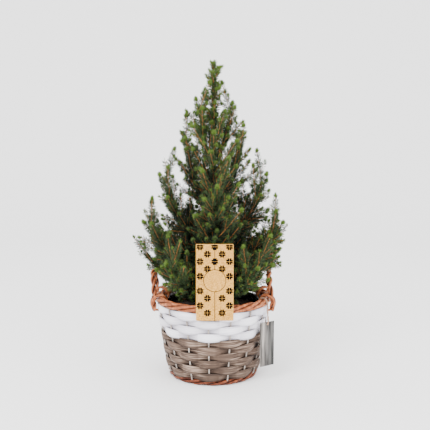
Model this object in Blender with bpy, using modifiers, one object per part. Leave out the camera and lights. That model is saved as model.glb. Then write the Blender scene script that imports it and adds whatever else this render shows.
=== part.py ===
"""A dwarf spruce in a lined wicker basket with two ear handles, a star card and a hanging tag.

Metres, +Z up, front towards -Y. The origin is the centre of the basket's underside.
"""

import math
import random

import bmesh
import bpy
from mathutils import Matrix, Vector

GAP = 0.0003  # left between pieces that touch

# Basket wall: flat strips woven round upright stakes
ROWS = 10
WHITE_ROWS = 4
STAKES = 16
FIRST_STAKE = math.radians(-94.5)
ROW_PITCH = 0.0140
ROW_GAP = 0.0007
WALL_FOOT = 0.0125
WALL_TOP = WALL_FOOT + ROWS * ROW_PITCH
FOOT_RADIUS = 0.0945
TOP_RADIUS = 0.1200
FLARE_POWER = 0.75
STRIP_THICKNESS = 0.0020
STRIP_WAVE = 0.0038
STAKE_RADIUS = 0.0015

# Twisted borders of willow rods
RIM_RADIUS = 0.1130
RIM_ROD = 0.0082
RIM_TURNS = 10
RIM_PHASE = math.radians(30)  # brings a rod to the top of the rim under each handle
FOOT_RING_RADIUS = 0.0885
FOOT_RING_ROD = 0.0058
FOOT_RING_TURNS = 6
RIM_SEGMENTS = 60
FOOT_RING_SEGMENTS = 36
LOBES = 3
LOBE_DEPTH = 0.32
PLATE_THICKNESS = 0.0050

RIM_HEIGHT = WALL_TOP + GAP + RIM_ROD

# Ear handles
HANDLE_ANGLE = math.radians(18)
HANDLE_TOP = 0.2140
HANDLE_ROD = 0.0056
HANDLE_LEANS = {-1: -0.0020, 1: -0.0100}  # how far each hoop's top leans outwards, left and right
HANDLE_STEPS = 12
HANDLE_OVERRUN = 0.15  # how far the hoop's ends run on below the rim, in half turns
HANDLE_THINNING = 0.40  # how much of its thickness a hoop's end loses
WRAP_RADIUS = 0.0160
WRAP_ROD = 0.0022
WRAP_SHIFT = 0.0030  # where a wrap's middle lies, outwards from the rim's and down from it
WRAP_DROP = 0.0040
WRAP_START = math.radians(-60)
WRAP_END = math.radians(200)
WRAP_STEPS = 11
STUB = 0.0120
HAND_GAP_HEIGHT = 0.1870
HAND_GAP_RADIUS = 0.0180

# Liner, compost, card and tag
LINER_WALL = 0.0012
LINER_STEPS = 20
LINER_CORNER = 0.0020
LINER_HEIGHTS = (0.024, 0.075)
LIP_DROP = 0.0040
LINER_TOP = 0.1600
COMPOST_TOP = 0.1400
COMPOST_EDGE = 0.1340
COMPOST_CROWN = 0.6  # part of the compost's radius that lies level
CARD_SIZE = (0.072, 0.0010, 0.148)
CARD_FOOT = (0.0035, 0.1430)
CARD_LEAN = math.radians(3)
TAG_SIZE = (0.034, 0.0020, 0.091)
TAG_PLACE = (0.1090, -0.0645, 0.0785)
TAG_TURN = math.radians(32)
TAG_HOLE = 0.0018
TAG_HOLE_DROP = 0.0050
TIE_BEARING = math.radians(-27)
TIE_RADIUS = 0.0012
# The twine's way through the tag's hole: distance behind the tag's middle, height above the hole's
TIE_THREAD = ((-0.0035, 0.0080), (-0.0022, 0.0), (0.0022, 0.0), (0.0045, 0.0040))

# Tree
TRUNK_FOOT_RADIUS = 0.0065
TRUNK_TIP_RADIUS = 0.0018
TRUNK_TOP = 0.5000
TRUNK_STATIONS = (0.20, 0.28, 0.38)
TRUNK_ROOM = 0.0052  # kept free of needles round the trunk's middle line
ROOT_FLARE = 0.0050
FLARE_HEIGHT = 0.0120
TREE_TOP = 0.6500
TRUNK_LEAN = 0.0020
WIDEST_REACH = 0.1560
WIDEST_HEIGHT = 0.2800
REACH_BULGE = 0.12
SKIRT_TAPER = 0.7  # how fast the crown draws in below its widest height
BOUGH_SHARE = 0.22  # part of a bough's line that is bare limb
BOUGH_RADIUS = 0.0028
BOUGH_TAPER = (1.15, 0.65)  # a bough's thickness at the trunk and at its mass, as shares of its radius
FLAT_FACE = 0.95  # how near the middle a tube's flat face lies, as a share of its radius
END_MARGIN = 1.05
SHOULDER_REACH = 0.70  # where a bough's line turns upwards, as shares of its reach and its rise
SHOULDER_RISE = 0.28
HELD_BACK = 0.0180  # how far inside the rim the card keeps a bough's tip
BEARING_PLAY = 5
TIP_PLAY = 0.0100
ROOT_PLAY = 0.0080
LINE_STEPS = 12
STEM_RADIUS = 0.0014
STEM_SWELL = 1.6  # how much thicker a stem is where it leaves its bough
STEM_OVERRUN = 0.08  # how far it runs on into its end shoot, as a share of the bough's line
# Boughs in a tier, bearing of the first one, its height on the trunk and the height of its tip
TIERS = (
    (5, 18, 0.162, 0.246),
    (5, 54, 0.205, 0.318),
    (4, 5, 0.260, 0.408),
    (3, 30, 0.335, 0.492),
    (2, 20, 0.430, 0.566),
)
SHOOT_LENGTH = 0.085
SHOOT_CORE = 0.0026
SHOOT_RINGS = 6
SHOOT_SIDES = 6
FIRST_NEEDLES = 2  # the ring of a shoot where its needles begin
NEEDLE_SHARE = 0.92  # of the room left for a needle, how much it fills
NEEDLE = 0.0125
NEEDLE_LEAN = 0.75
SIDE_SHOOTS = 5
SHOOT_SPAN = (0.03, 0.90)  # where side shoots grow: past the bare limb, and up to this share of the line
FIRST_TOP_SHOOT = 0.04
SHOOT_TURNS = 12
NEAR_BOUGH = 0.35  # part of a shoot's length that may lie close to its own bough
NEAR_OWN = 0.45  # part of its length that may lie close to the other shoots of its mass
# Share of the full length, and spread from the stem, that a side shoot tries in turn
SHOOT_TRIES = ((0.95, 0.85), (0.80, 0.85), (0.80, 0.55), (0.62, 0.70), (0.55, 0.45))
SHOOT_LIFT = 0.30
SHOOT_MARGIN = 0.0010
OWN_SPACING = 0.78
OUTLINE_SLACK = 0.012
SEED = 17


def new_material(name, colour, roughness, metallic=0.0):
    material = bpy.data.materials.new(name)
    material.use_nodes = True
    shader = material.node_tree.nodes["Principled BSDF"]
    shader.inputs["Base Color"].default_value = (*colour, 1.0)
    shader.inputs["Roughness"].default_value = roughness
    shader.inputs["Metallic"].default_value = metallic
    return material


def clear_scene():
    for obj in list(bpy.data.objects):
        bpy.data.objects.remove(obj)


def new_collection(name):
    collection = bpy.data.collections.new(name)
    bpy.context.scene.collection.children.link(collection)
    return collection


def add_object(name, data, material, collection):
    obj = bpy.data.objects.new(name, data)
    if material is not None:
        data.materials.append(material)
    collection.objects.link(obj)
    return obj


def mesh_of(bm, name):
    mesh = bpy.data.meshes.new(name)
    bm.normal_update()
    bm.to_mesh(mesh)
    bm.free()
    return mesh


def add_modifier(obj, name, kind, **settings):
    modifier = obj.modifiers.new(name, kind)
    for key, value in settings.items():
        setattr(modifier, key, value)
    return modifier


def tube_curve(name, points, radii, resolution):
    """A curve with a round section that follows the points, with a radius at each of them."""
    curve = bpy.data.curves.new(name, "CURVE")
    curve.dimensions = "3D"
    curve.bevel_depth = 1.0
    curve.bevel_resolution = resolution
    curve.use_fill_caps = True
    spline = curve.splines.new("POLY")
    spline.points.add(len(points) - 1)
    for spot, point, radius in zip(spline.points, points, radii):
        spot.co = (*point, 1.0)
        spot.radius = radius
    return curve


def face_outwards(bm):
    bmesh.ops.recalc_face_normals(bm, faces=bm.faces)
    if bm.calc_volume(signed=True) < 0:
        bmesh.ops.reverse_faces(bm, faces=bm.faces)


def mesh_from(obj, name):
    """The object's evaluated mesh as new mesh data."""
    bpy.context.view_layer.update()
    graph = bpy.context.evaluated_depsgraph_get()
    mesh = bpy.data.meshes.new_from_object(obj.evaluated_get(graph))
    mesh.name = name
    return mesh


def weld(mesh):
    """Joins a tube's caps to its sides and points its faces outwards."""
    bm = bmesh.new()
    bm.from_mesh(mesh)
    bmesh.ops.remove_doubles(bm, verts=bm.verts, dist=0.00001)
    face_outwards(bm)
    bm.to_mesh(mesh)
    bm.free()


def tube_mesh(name, points, radii, resolution, collection):
    """The same tube as a mesh object, for joining."""
    holder = add_object(name + "_line", tube_curve(name, points, radii, resolution), None, collection)
    mesh = mesh_from(holder, name)
    weld(mesh)
    bpy.data.objects.remove(holder)
    return add_object(name, mesh, None, collection)


def union_all(base, operands, name, material, collection):
    """The base and every operand joined by one Boolean, as one object; loose scraps are dropped."""
    group = new_collection(name + "_operands")
    for obj in operands:
        for owner in list(obj.users_collection):
            owner.objects.unlink(obj)
        group.objects.link(obj)
    add_modifier(
        base, "Join", "BOOLEAN", operation="UNION", solver="MANIFOLD",
        operand_type="COLLECTION", collection=group,
    )
    mesh = mesh_from(base, name)
    for obj in [base, *operands]:
        bpy.data.objects.remove(obj)
    bpy.data.collections.remove(group)
    keep_main_shell(mesh)
    return add_object(name, mesh, material, collection)


def keep_main_shell(mesh):
    """Deletes every shell but the largest, so that sealed hollows are filled."""
    bm = bmesh.new()
    bm.from_mesh(mesh)
    left = set(bm.verts)
    shells = []
    while left:
        shell = {left.pop()}
        edge_of_shell = set(shell)
        while edge_of_shell:
            near = {edge.other_vert(vert) for vert in edge_of_shell for edge in vert.link_edges}
            edge_of_shell = near - shell
            shell |= edge_of_shell
        left -= shell
        shells.append(shell)
    shells.sort(key=len)
    for shell in shells[:-1]:
        bmesh.ops.delete(bm, geom=list(shell), context="VERTS")
    bm.to_mesh(mesh)
    bm.free()


# Basket


def outer_radius(z):
    """The wall's outer face, which flares towards the rim."""
    return FOOT_RADIUS + (TOP_RADIUS - FOOT_RADIUS) * (max(z, 0.0) / WALL_TOP) ** FLARE_POWER


def stake_circle(z):
    return outer_radius(z) - STRIP_WAVE - STRIP_THICKNESS / 2


def weave_row(row, material, collection):
    """A band that runs over and under the stakes: a bent ring with a thickness."""
    low = WALL_FOOT + row * ROW_PITCH
    high = low + ROW_PITCH - ROW_GAP
    bm = bmesh.new()
    bmesh.ops.create_circle(bm, segments=2 * STAKES, radius=1.0)
    raised = bmesh.ops.extrude_edge_only(bm, edges=bm.edges[:])
    top = {item for item in raised["geom"] if isinstance(item, bmesh.types.BMVert)}
    for vert in bm.verts:
        step = round((math.atan2(vert.co.y, vert.co.x)) / (math.pi / STAKES))
        angle = FIRST_STAKE + step * math.pi / STAKES
        z = high if vert in top else low
        side = math.cos(step * math.pi / 2 + row * math.pi)
        radius = stake_circle(z) + STRIP_WAVE * side
        vert.co = (radius * math.cos(angle), radius * math.sin(angle), z)
    bmesh.ops.recalc_face_normals(bm, faces=bm.faces)
    name = f"weave_row_{row + 1:02d}"
    obj = add_object(name, mesh_of(bm, name), material, collection)
    add_modifier(obj, "Strip", "SOLIDIFY", thickness=STRIP_THICKNESS, offset=0.0)
    return obj


def twisted_ring(name, radius, height, rod, turns, segments, phase=0.0):
    """A closed ring of twisted rods: a lobed section that turns as it goes round."""
    bm = bmesh.new()
    sides = 2 * LOBES
    bmesh.ops.create_circle(bm, segments=sides, radius=1.0)
    bmesh.ops.rotate(bm, verts=bm.verts, matrix=Matrix.Rotation(math.pi / 2, 3, "X"))
    bmesh.ops.translate(bm, verts=bm.verts, vec=(radius / rod, 0, 0))
    bmesh.ops.spin(
        bm, geom=bm.verts[:] + bm.edges[:], cent=(0, 0, 0), axis=(0, 0, 1), angle=2 * math.pi,
        steps=segments, use_merge=True,
    )
    for vert in bm.verts:
        around = math.atan2(vert.co.y, vert.co.x)
        side = math.atan2(vert.co.z, math.hypot(vert.co.x, vert.co.y) - radius / rod)
        crest = round(side / (math.pi / LOBES)) % 2 == 0
        reach = rod if crest else rod * (1 - LOBE_DEPTH)
        turn = side + turns * around + phase
        ring = radius + reach * math.cos(turn)
        vert.co = (ring * math.cos(around), ring * math.sin(around), height + reach * math.sin(turn))
    face_outwards(bm)
    return mesh_of(bm, name)


def ring_and_stakes(material, collection):
    """The foot border with the stakes that grow out of it, joined."""
    height = GAP + FOOT_RING_ROD
    border = twisted_ring(
        "foot_ring", FOOT_RING_RADIUS, height, FOOT_RING_ROD, FOOT_RING_TURNS, FOOT_RING_SEGMENTS
    )
    ring = add_object("foot_ring", border, None, collection)
    stakes = []
    heights = [WALL_FOOT + share * (WALL_TOP - WALL_FOOT) for share in (0.0, 0.35, 1.0)]
    for index in range(STAKES):
        angle = FIRST_STAKE + index * 2 * math.pi / STAKES
        line = [(FOOT_RING_RADIUS, height)]
        line += [(stake_circle(z), z) for z in heights]
        points = [(r * math.cos(angle), r * math.sin(angle), z) for r, z in line]
        stakes.append(tube_mesh(f"stake_{index}", points, [STAKE_RADIUS] * len(points), 0, collection))
    return union_all(ring, stakes, "foot_ring_and_stakes", material, collection)


def base_plate(material, collection):
    bm = bmesh.new()
    radius = FOOT_RING_RADIUS - FOOT_RING_ROD - GAP
    bmesh.ops.create_cone(
        bm, cap_ends=True, segments=32, radius1=radius, radius2=radius, depth=PLATE_THICKNESS,
        matrix=Matrix.Translation((0, 0, PLATE_THICKNESS / 2)),
    )
    return add_object("base_plate", mesh_of(bm, "base_plate"), material, collection)


def handle_line(side):
    """The hoop's points, from the stub under the rim up, over and down to the other stub."""
    outside = RIM_RADIUS + RIM_ROD + HANDLE_ROD + GAP
    low = RIM_HEIGHT - RIM_ROD - STUB
    points = []
    for step in range(HANDLE_STEPS + 1):
        share = step / HANDLE_STEPS
        swing = math.pi * (share * (1 + 2 * HANDLE_OVERRUN) - HANDLE_OVERRUN)
        bearing = -HANDLE_ANGLE * math.cos(min(max(swing, 0), math.pi))
        rise = math.sin(swing)
        z = RIM_HEIGHT + (HANDLE_TOP - RIM_HEIGHT) * rise
        if rise < 0:
            z = RIM_HEIGHT + (RIM_HEIGHT - low) * rise / math.sin(math.pi * HANDLE_OVERRUN)
        radius = outside + HANDLE_LEANS[side] * max(rise, 0.0)
        points.append(Vector((side * radius * math.cos(bearing), radius * math.sin(bearing), z)))
    return points


def wrap_loop(name, side, end, collection):
    """A hook of thin rod over the rim and round the handle's foot, from inside the rim to outside."""
    bearing = end * HANDLE_ANGLE
    outward = Vector((side * math.cos(bearing), math.sin(bearing), 0))
    centre = outward * (RIM_RADIUS + WRAP_SHIFT) + Vector((0, 0, RIM_HEIGHT - WRAP_DROP))
    points = []
    for step in range(WRAP_STEPS + 1):
        swing = WRAP_START + (WRAP_END - WRAP_START) * step / WRAP_STEPS
        points.append(centre + (outward * math.cos(swing) + Vector((0, 0, math.sin(swing)))) * WRAP_RADIUS)
    return tube_mesh(name, points, [WRAP_ROD] * len(points), 0, collection)


def handle(name, side, material, collection):
    points = handle_line(side)
    stub = RIM_HEIGHT - min(point.z for point in points)
    depths = [max(RIM_HEIGHT - point.z, 0.0) / stub for point in points]
    radii = [HANDLE_ROD * (1 - HANDLE_THINNING * depth) for depth in depths]
    hoop = tube_mesh(name + "_hoop", points, radii, 1, collection)
    wraps = [wrap_loop(f"{name}_wrap_{end}", side, end, collection) for end in (-1, 1)]
    return union_all(hoop, wraps, name, material, collection)


def turned(name, profile, material, collection):
    """A profile in the XZ plane turned about Z; it runs from the bottom of the axis outwards."""
    bm = bmesh.new()
    verts = [bm.verts.new((r, 0, z)) for r, z in profile]
    for low, high in zip(verts, verts[1:]):
        bm.edges.new((low, high))
    obj = add_object(name, mesh_of(bm, name), material, collection)
    add_modifier(
        obj, "Turn", "SCREW", steps=LINER_STEPS, render_steps=LINER_STEPS, use_merge_vertices=True,
        merge_threshold=0.0001, use_normal_flip=True,
    )
    return obj


def liner_radius(z):
    return stake_circle(z) - STRIP_WAVE - STRIP_THICKNESS / 2 - 2 * GAP


def liner_profile(inset):
    """Wall of the liner from its foot to its turned-in top edge, moved inwards by the inset."""
    foot = FOOT_RING_RADIUS - FOOT_RING_ROD - 2 * GAP
    lip = RIM_RADIUS + WRAP_SHIFT - WRAP_RADIUS - WRAP_ROD - GAP
    line = [(foot - LINER_CORNER, PLATE_THICKNESS + GAP), (foot, WALL_FOOT)]
    line += [(liner_radius(z), z) for z in (*LINER_HEIGHTS, COMPOST_EDGE)]
    line += [(lip, WALL_TOP - LIP_DROP), (lip, LINER_TOP)]
    return [(r - inset, z) for r, z in line]


def liner(material, collection):
    outer = liner_profile(0.0)
    inner = liner_profile(LINER_WALL)
    inner[0] = (inner[0][0], inner[0][1] + LINER_WALL)
    floor = [(0.0, outer[0][1])]
    ceiling = [(0.0, inner[0][1])]
    return turned("liner", floor + outer + inner[::-1] + ceiling, material, collection)


def compost(material, collection):
    inner = [(r, z) for r, z in liner_profile(LINER_WALL + GAP) if z < COMPOST_TOP]
    inner[0] = (inner[0][0], inner[0][1] + LINER_WALL + GAP)
    crown = [(COMPOST_CROWN * inner[-1][0], COMPOST_TOP), (0.0, COMPOST_TOP)]
    profile = [(0.0, inner[0][1])] + inner + crown
    return turned("compost", profile, material, collection)


def card(material, collection):
    width, thickness, height = CARD_SIZE
    bm = bmesh.new()
    bmesh.ops.create_cube(bm, size=1.0)
    bmesh.ops.scale(bm, verts=bm.verts, vec=CARD_SIZE)
    bmesh.ops.translate(bm, verts=bm.verts, vec=(0, -thickness / 2, height / 2))
    bmesh.ops.rotate(bm, verts=bm.verts, matrix=Matrix.Rotation(-CARD_LEAN, 3, "X"))
    seat = RIM_RADIUS + RIM_ROD + GAP
    foot = -seat - (RIM_HEIGHT - CARD_FOOT[1]) * math.tan(CARD_LEAN)
    bmesh.ops.translate(bm, verts=bm.verts, vec=(CARD_FOOT[0], foot, CARD_FOOT[1]))
    return add_object("card", mesh_of(bm, "card"), material, collection)


def tag(material, collection, cutters):
    bm = bmesh.new()
    bmesh.ops.create_cube(bm, size=1.0)
    bmesh.ops.scale(bm, verts=bm.verts, vec=TAG_SIZE)
    obj = add_object("tag", mesh_of(bm, "tag"), material, collection)
    obj.location = TAG_PLACE
    obj.rotation_euler = (0, 0, TAG_TURN)
    bm = bmesh.new()
    bmesh.ops.create_cone(
        bm, cap_ends=True, segments=12, radius1=TAG_HOLE, radius2=TAG_HOLE, depth=4 * TAG_SIZE[1],
        matrix=Matrix.Rotation(math.pi / 2, 4, "X"),
    )
    bmesh.ops.translate(bm, verts=bm.verts, vec=(0, 0, TAG_SIZE[2] / 2 - TAG_HOLE_DROP))
    hole = add_object("tag_hole_cutter", mesh_of(bm, "tag_hole_cutter"), None, cutters)
    hole.location = TAG_PLACE
    hole.rotation_euler = (0, 0, TAG_TURN)
    hole.hide_render = True
    hole.display_type = "WIRE"
    add_modifier(obj, "Hole", "BOOLEAN", operation="DIFFERENCE", object=hole)
    return obj


def tag_tie(material, collection):
    """Twine that lies over the rim, hangs down its outside and goes through the tag's hole."""
    hole = Vector(TAG_PLACE) + Vector((0, 0, TAG_SIZE[2] / 2 - TAG_HOLE_DROP))
    back = Vector((-math.sin(TAG_TURN), math.cos(TAG_TURN), 0))
    outward = Vector((math.cos(TIE_BEARING), math.sin(TIE_BEARING), 0))
    middle = outward * RIM_RADIUS + Vector((0, 0, RIM_HEIGHT))
    reach = RIM_ROD + TIE_RADIUS + GAP
    points = []
    for swing in (120, 90, 60, 30, 0):
        angle = math.radians(swing)
        points.append(middle + (outward * math.cos(angle) + Vector((0, 0, math.sin(angle)))) * reach)
    points += [hole + back * depth + Vector((0, 0, rise)) for depth, rise in TIE_THREAD]
    curve = tube_curve("tag_tie", points, [TIE_RADIUS] * len(points), 0)
    return add_object("tag_tie", curve, material, collection)


# Tree


def trunk_point(z):
    share = (z - COMPOST_TOP) / (TREE_TOP - COMPOST_TOP)
    return Vector((TRUNK_LEAN * share, 0.0, z))


def crown_reach(z):
    """The crown's outline: how far from the trunk the tips reach at a height."""
    share = (z - WIDEST_HEIGHT) / (TREE_TOP - WIDEST_HEIGHT)
    if share < 0:
        return WIDEST_REACH * (1 + SKIRT_TAPER * share)
    return WIDEST_REACH * (1 - share) * (1 + REACH_BULGE * math.sin(math.pi * share))


def bend(a, b, c, share):
    """A point on the curve that leaves a towards b and arrives at c."""
    return a * (1 - share) ** 2 + b * 2 * share * (1 - share) + c * share ** 2


def bough_lines():
    """Each bough's whole line from the trunk to its tip, tier by tier, as (name, points)."""
    draw = random.Random(SEED)
    lines = []
    for tier, (count, first, start, end) in enumerate(TIERS):
        for index in range(count):
            bearing = math.radians(first + 360 * index / count + draw.uniform(-BEARING_PLAY, BEARING_PLAY))
            tip_height = end + draw.uniform(-TIP_PLAY, TIP_PLAY)
            reach = crown_reach(tip_height)
            out = Vector((math.cos(bearing), math.sin(bearing), 0))
            level_with_card = out.y < 0 and tip_height < CARD_FOOT[1] + CARD_SIZE[2] + SHOOT_LENGTH
            if level_with_card and abs(reach * out.x - CARD_FOOT[0]) < CARD_SIZE[0] / 2 + NEEDLE:
                reach = RIM_RADIUS - HELD_BACK
            root = trunk_point(start + draw.uniform(-ROOT_PLAY, ROOT_PLAY))
            tip = root + out * reach
            tip.z = tip_height
            shoulder = root + out * reach * SHOULDER_REACH
            shoulder.z = root.z + (tip.z - root.z) * SHOULDER_RISE
            points = [bend(root, shoulder, tip, step / LINE_STEPS) for step in range(LINE_STEPS + 1)]
            lines.append((f"{tier + 1}{chr(97 + index)}", points))
    leader = [trunk_point(TRUNK_TOP + (TREE_TOP - TRUNK_TOP) * step / 6) for step in range(7)]
    lines.append(("top", leader))
    return lines


def along(points, share):
    """The point at a share of the line's length, and the line's direction there."""
    spot = share * (len(points) - 1)
    low = min(int(spot), len(points) - 2)
    place = points[low].lerp(points[low + 1], spot - low)
    return place, (points[low + 1] - points[low]).normalized()


def nearest(point, a, b):
    """How far the point is from the run a to b, and at what share of the run."""
    run = b - a
    share = max(0.0, min(1.0, (point - a).dot(run) / run.length_squared))
    return (point - a - run * share).length, share


def clear_of_line(point, room, line, radius):
    return all(nearest(point, a, b)[0] > room + radius for a, b in zip(line, line[1:]))


def inside_crown(point, room):
    """Whether a point keeps to the crown: inside its outline, above the rim and behind the card."""
    if (point - trunk_point(point.z)).length > crown_reach(point.z) + OUTLINE_SLACK:
        return False
    if point.z < WALL_TOP + 2 * RIM_ROD + room:
        return False
    behind_card = abs(point.x - CARD_FOOT[0]) < CARD_SIZE[0] / 2 + room
    return not (behind_card and point.y < room - RIM_RADIUS and point.z < CARD_FOOT[1] + CARD_SIZE[2] + room)


def fits(own, root, tip, taken, limbs, stems):
    """Whether a shoot stays clear of every limb, stem and shoot already in place."""
    for step in range(1, 8):
        share = step / 7
        point = root.lerp(tip, share)
        room = needle_reach(share) + SHOOT_MARGIN
        others = [limb for limb in limbs if share > NEAR_BOUGH or limb[2] != own]
        lines = [(line, radius) for line, radius, _ in others]
        lines += [(line, STEM_RADIUS) for name, line in stems.items() if name != own]
        if not inside_crown(point, room):
            return False
        if not all(clear_of_line(point, room, line, radius) for line, radius in lines):
            return False
        for owner, a, b in taken:
            space, spot = nearest(point, a, b)
            if owner != own and space < room + needle_reach(spot):
                return False
            if owner == own and share > NEAR_OWN and space < OWN_SPACING * (room + needle_reach(spot)):
                return False
    return True


def side_shoot(name, points, round_number, taken, limbs, stems, draw):
    """The next shoot of a mass that finds room, as (root, tip), or None."""
    first = FIRST_TOP_SHOOT if name == "top" else BOUGH_SHARE + SHOOT_SPAN[0]
    share = first + (SHOOT_SPAN[1] - first) * (1 - round_number / SIDE_SHOOTS) * draw.uniform(0.9, 1.0)
    root, direction = along(points, share)
    turn = draw.uniform(0, 2 * math.pi)
    for length, spread in SHOOT_TRIES:
        for attempt in range(SHOOT_TURNS):
            side = direction.orthogonal().normalized()
            side.rotate(Matrix.Rotation(turn + attempt * 2 * math.pi / SHOOT_TURNS, 3, direction))
            aim = (direction + side * spread + Vector((0, 0, SHOOT_LIFT))).normalized()
            tip = root + aim * length * SHOOT_LENGTH
            if fits(name, root, tip, taken, limbs, stems):
                return root, tip
    return None


def all_shoots(lines, limbs, stems):
    """Every shoot of the crown as (mass, root, tip): the tips first, then the sides in turns."""
    draw = random.Random(SEED + 1)
    taken = []
    for name, points in lines:
        length = sum((b - a).length for a, b in zip(points, points[1:]))
        taken.append((name, along(points, 1 - SHOOT_LENGTH / length)[0], points[-1]))
    for round_number in range(SIDE_SHOOTS):
        for name, points in reversed(lines):
            found = side_shoot(name, points, round_number, taken, limbs, stems, draw)
            if found:
                taken.append((name, *found))
    return taken


def needle_reach(share):
    """How far the needles stand out from the shoot's middle, along its length."""
    return SHOOT_CORE + NEEDLE * math.sin(math.pi * min(1.0, 0.15 + 0.80 * share)) ** 0.5


def shoot(name, root, tip, collection):
    """A slim core with needles standing out of it, made from a sphere of few faces."""
    bm = bmesh.new()
    bmesh.ops.create_uvsphere(bm, u_segments=SHOOT_SIDES, v_segments=SHOOT_RINGS, radius=1.0)
    length = (tip - root).length
    core = []
    for vert in bm.verts:
        ring = round(math.acos(max(-1, min(1, -vert.co.z))) / (math.pi / SHOOT_RINGS))
        column = math.floor(math.atan2(vert.co.y, vert.co.x) / (2 * math.pi / SHOOT_SIDES))
        share = ring / SHOOT_RINGS
        if ring in (0, SHOOT_RINGS):
            vert.co = (0, 0, length * share)
            core.append(vert)
            continue
        angle = column * 2 * math.pi / SHOOT_SIDES
        out = SHOOT_CORE * (1 - 0.5 * share)
        rise = length * share * NEEDLE_SHARE
        if (ring + column) % 2 == 0 and ring >= FIRST_NEEDLES:
            out = needle_reach(share) * NEEDLE_SHARE
            rise = min(rise + NEEDLE_LEAN * (out - SHOOT_CORE), length)
        else:
            core.append(vert)
        vert.co = (out * math.cos(angle), out * math.sin(angle), rise)
    middle = set(core)
    for face in bm.faces[:]:
        pair = [vert for vert in face.verts if vert in middle]
        across = len(pair) == 2 and bm.edges.get(pair) is None
        if len(face.verts) == 4 and across:
            bmesh.utils.face_split(face, pair[0], pair[1])
    turn = Vector((0, 0, 1)).rotation_difference(tip - root).to_matrix().to_4x4()
    bmesh.ops.transform(bm, verts=bm.verts, matrix=Matrix.Translation(root) @ turn)
    face_outwards(bm)
    return add_object(name, mesh_of(bm, name), None, collection)


def trunk(material, collection):
    heights = [COMPOST_TOP + GAP, COMPOST_TOP + FLARE_HEIGHT, *TRUNK_STATIONS, TRUNK_TOP - GAP]
    radii = [trunk_radius(z) for z in heights]
    curve = tube_curve("trunk", [trunk_point(z) for z in heights], radii, 2)
    return add_object("trunk", curve, material, collection)


def trunk_radius(z):
    share = (z - COMPOST_TOP) / (TRUNK_TOP - COMPOST_TOP)
    flare = ROOT_FLARE * max(0.0, 1 - (z - COMPOST_TOP) / FLARE_HEIGHT)
    return TRUNK_FOOT_RADIUS + (TRUNK_TIP_RADIUS - TRUNK_FOOT_RADIUS) * share + flare


def root_clearance(points):
    """How far along its line a bough starts, for its cut end to meet the trunk's side."""
    run = (points[1] - points[0]).normalized()
    level = math.hypot(run.x, run.y)
    drop = END_MARGIN * BOUGH_RADIUS * abs(run.z)
    return (FLAT_FACE * trunk_radius(points[0].z) + GAP + drop) / level


def bare_limb(points):
    """The stations of a bough, from the trunk's side to where its mass begins."""
    root_share = root_clearance(points) / (points[1] - points[0]).length / LINE_STEPS
    return [along(points, root_share + (BOUGH_SHARE - root_share) * step / 3)[0] for step in range(4)]


def stem_of(name, points):
    """The stations of a mass's stem, from the end of its bough into its end shoot."""
    start = 0.0 if name == "top" else BOUGH_SHARE
    length = sum((b - a).length for a, b in zip(points, points[1:]))
    end = 1 - SHOOT_LENGTH / length + STEM_OVERRUN
    place, direction = along(points, start)
    rest = [along(points, start + (end - start) * step / 4)[0] for step in range(1, 5)]
    return [place + direction * GAP] + rest


def tree(wood, foliage, collection):
    lines = bough_lines()
    trunk(wood, collection)
    thick, thin = BOUGH_TAPER
    limbs = [([trunk_point(COMPOST_TOP), trunk_point(TRUNK_TOP)], TRUNK_ROOM, "trunk")]
    for side in (-1, 1):
        limbs.append((handle_line(side), HANDLE_ROD, "handle"))
        ends = [Vector((side * x, 0, HAND_GAP_HEIGHT)) for x in (RIM_RADIUS, RIM_RADIUS + 4 * RIM_ROD)]
        limbs.append((ends, HAND_GAP_RADIUS, "hand"))
    for name, points in lines[:-1]:
        stations = bare_limb(points)
        radii = [BOUGH_RADIUS * (thick + (thin - thick) * step / 3) for step in range(4)]
        add_object(f"bough_{name}", tube_curve(f"bough_{name}", stations, radii, 1), wood, collection)
        limbs.append((stations, BOUGH_RADIUS, name))
    stems = {name: stem_of(name, points) for name, points in lines}
    shoots = all_shoots(lines, limbs, stems)
    for name, line in stems.items():
        radii = [STEM_RADIUS * STEM_SWELL] + [STEM_RADIUS] * (len(line) - 1)
        stem = tube_mesh(f"stem_{name}", line, radii, 0, collection)
        own = [(root, tip) for owner, root, tip in shoots if owner == name]
        sprays = [shoot(f"shoot_{name}_{i}", a, b, collection) for i, (a, b) in enumerate(own)]
        union_all(stem, sprays, f"needles_{name}", foliage, collection)
    print(len(shoots), "shoots")


def main():
    clear_scene()
    part = new_collection("potted_spruce")
    cutters = new_collection("cutters")
    white = new_material("white_strip", (0.83, 0.81, 0.86), 0.6)
    grey = new_material("grey_strip", (0.25, 0.18, 0.15), 0.75)
    willow = new_material("willow", (0.57, 0.28, 0.18), 0.55)
    red_willow = new_material("red_willow", (0.24, 0.09, 0.06), 0.6)
    board = new_material("board", (0.35, 0.26, 0.18), 0.8)
    film = new_material("film", (0.012, 0.012, 0.013), 0.35)
    earth = new_material("earth", (0.03, 0.02, 0.015), 0.95)
    kraft = new_material("kraft", (0.68, 0.47, 0.26), 0.8)
    tag_face = new_material("tag_face", (0.29, 0.28, 0.26), 0.5)
    twine = new_material("twine", (0.62, 0.42, 0.32), 0.8)
    bark = new_material("bark", (0.30, 0.12, 0.05), 0.8)
    needles = new_material("needles", (0.045, 0.10, 0.025), 0.6)
    for row in range(ROWS):
        weave_row(row, white if row >= ROWS - WHITE_ROWS else grey, part)
    ring_and_stakes(red_willow, part)
    base_plate(board, part)
    rim = twisted_ring("rim", RIM_RADIUS, RIM_HEIGHT, RIM_ROD, RIM_TURNS, RIM_SEGMENTS, RIM_PHASE)
    add_object("rim", rim, willow, part)
    handle("handle_left", -1, willow, part)
    handle("handle_right", 1, willow, part)
    liner(film, part)
    compost(earth, part)
    card(kraft, part)
    tag(tag_face, part, cutters)
    tag_tie(twine, part)
    tree(bark, needles, part)


main()
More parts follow.
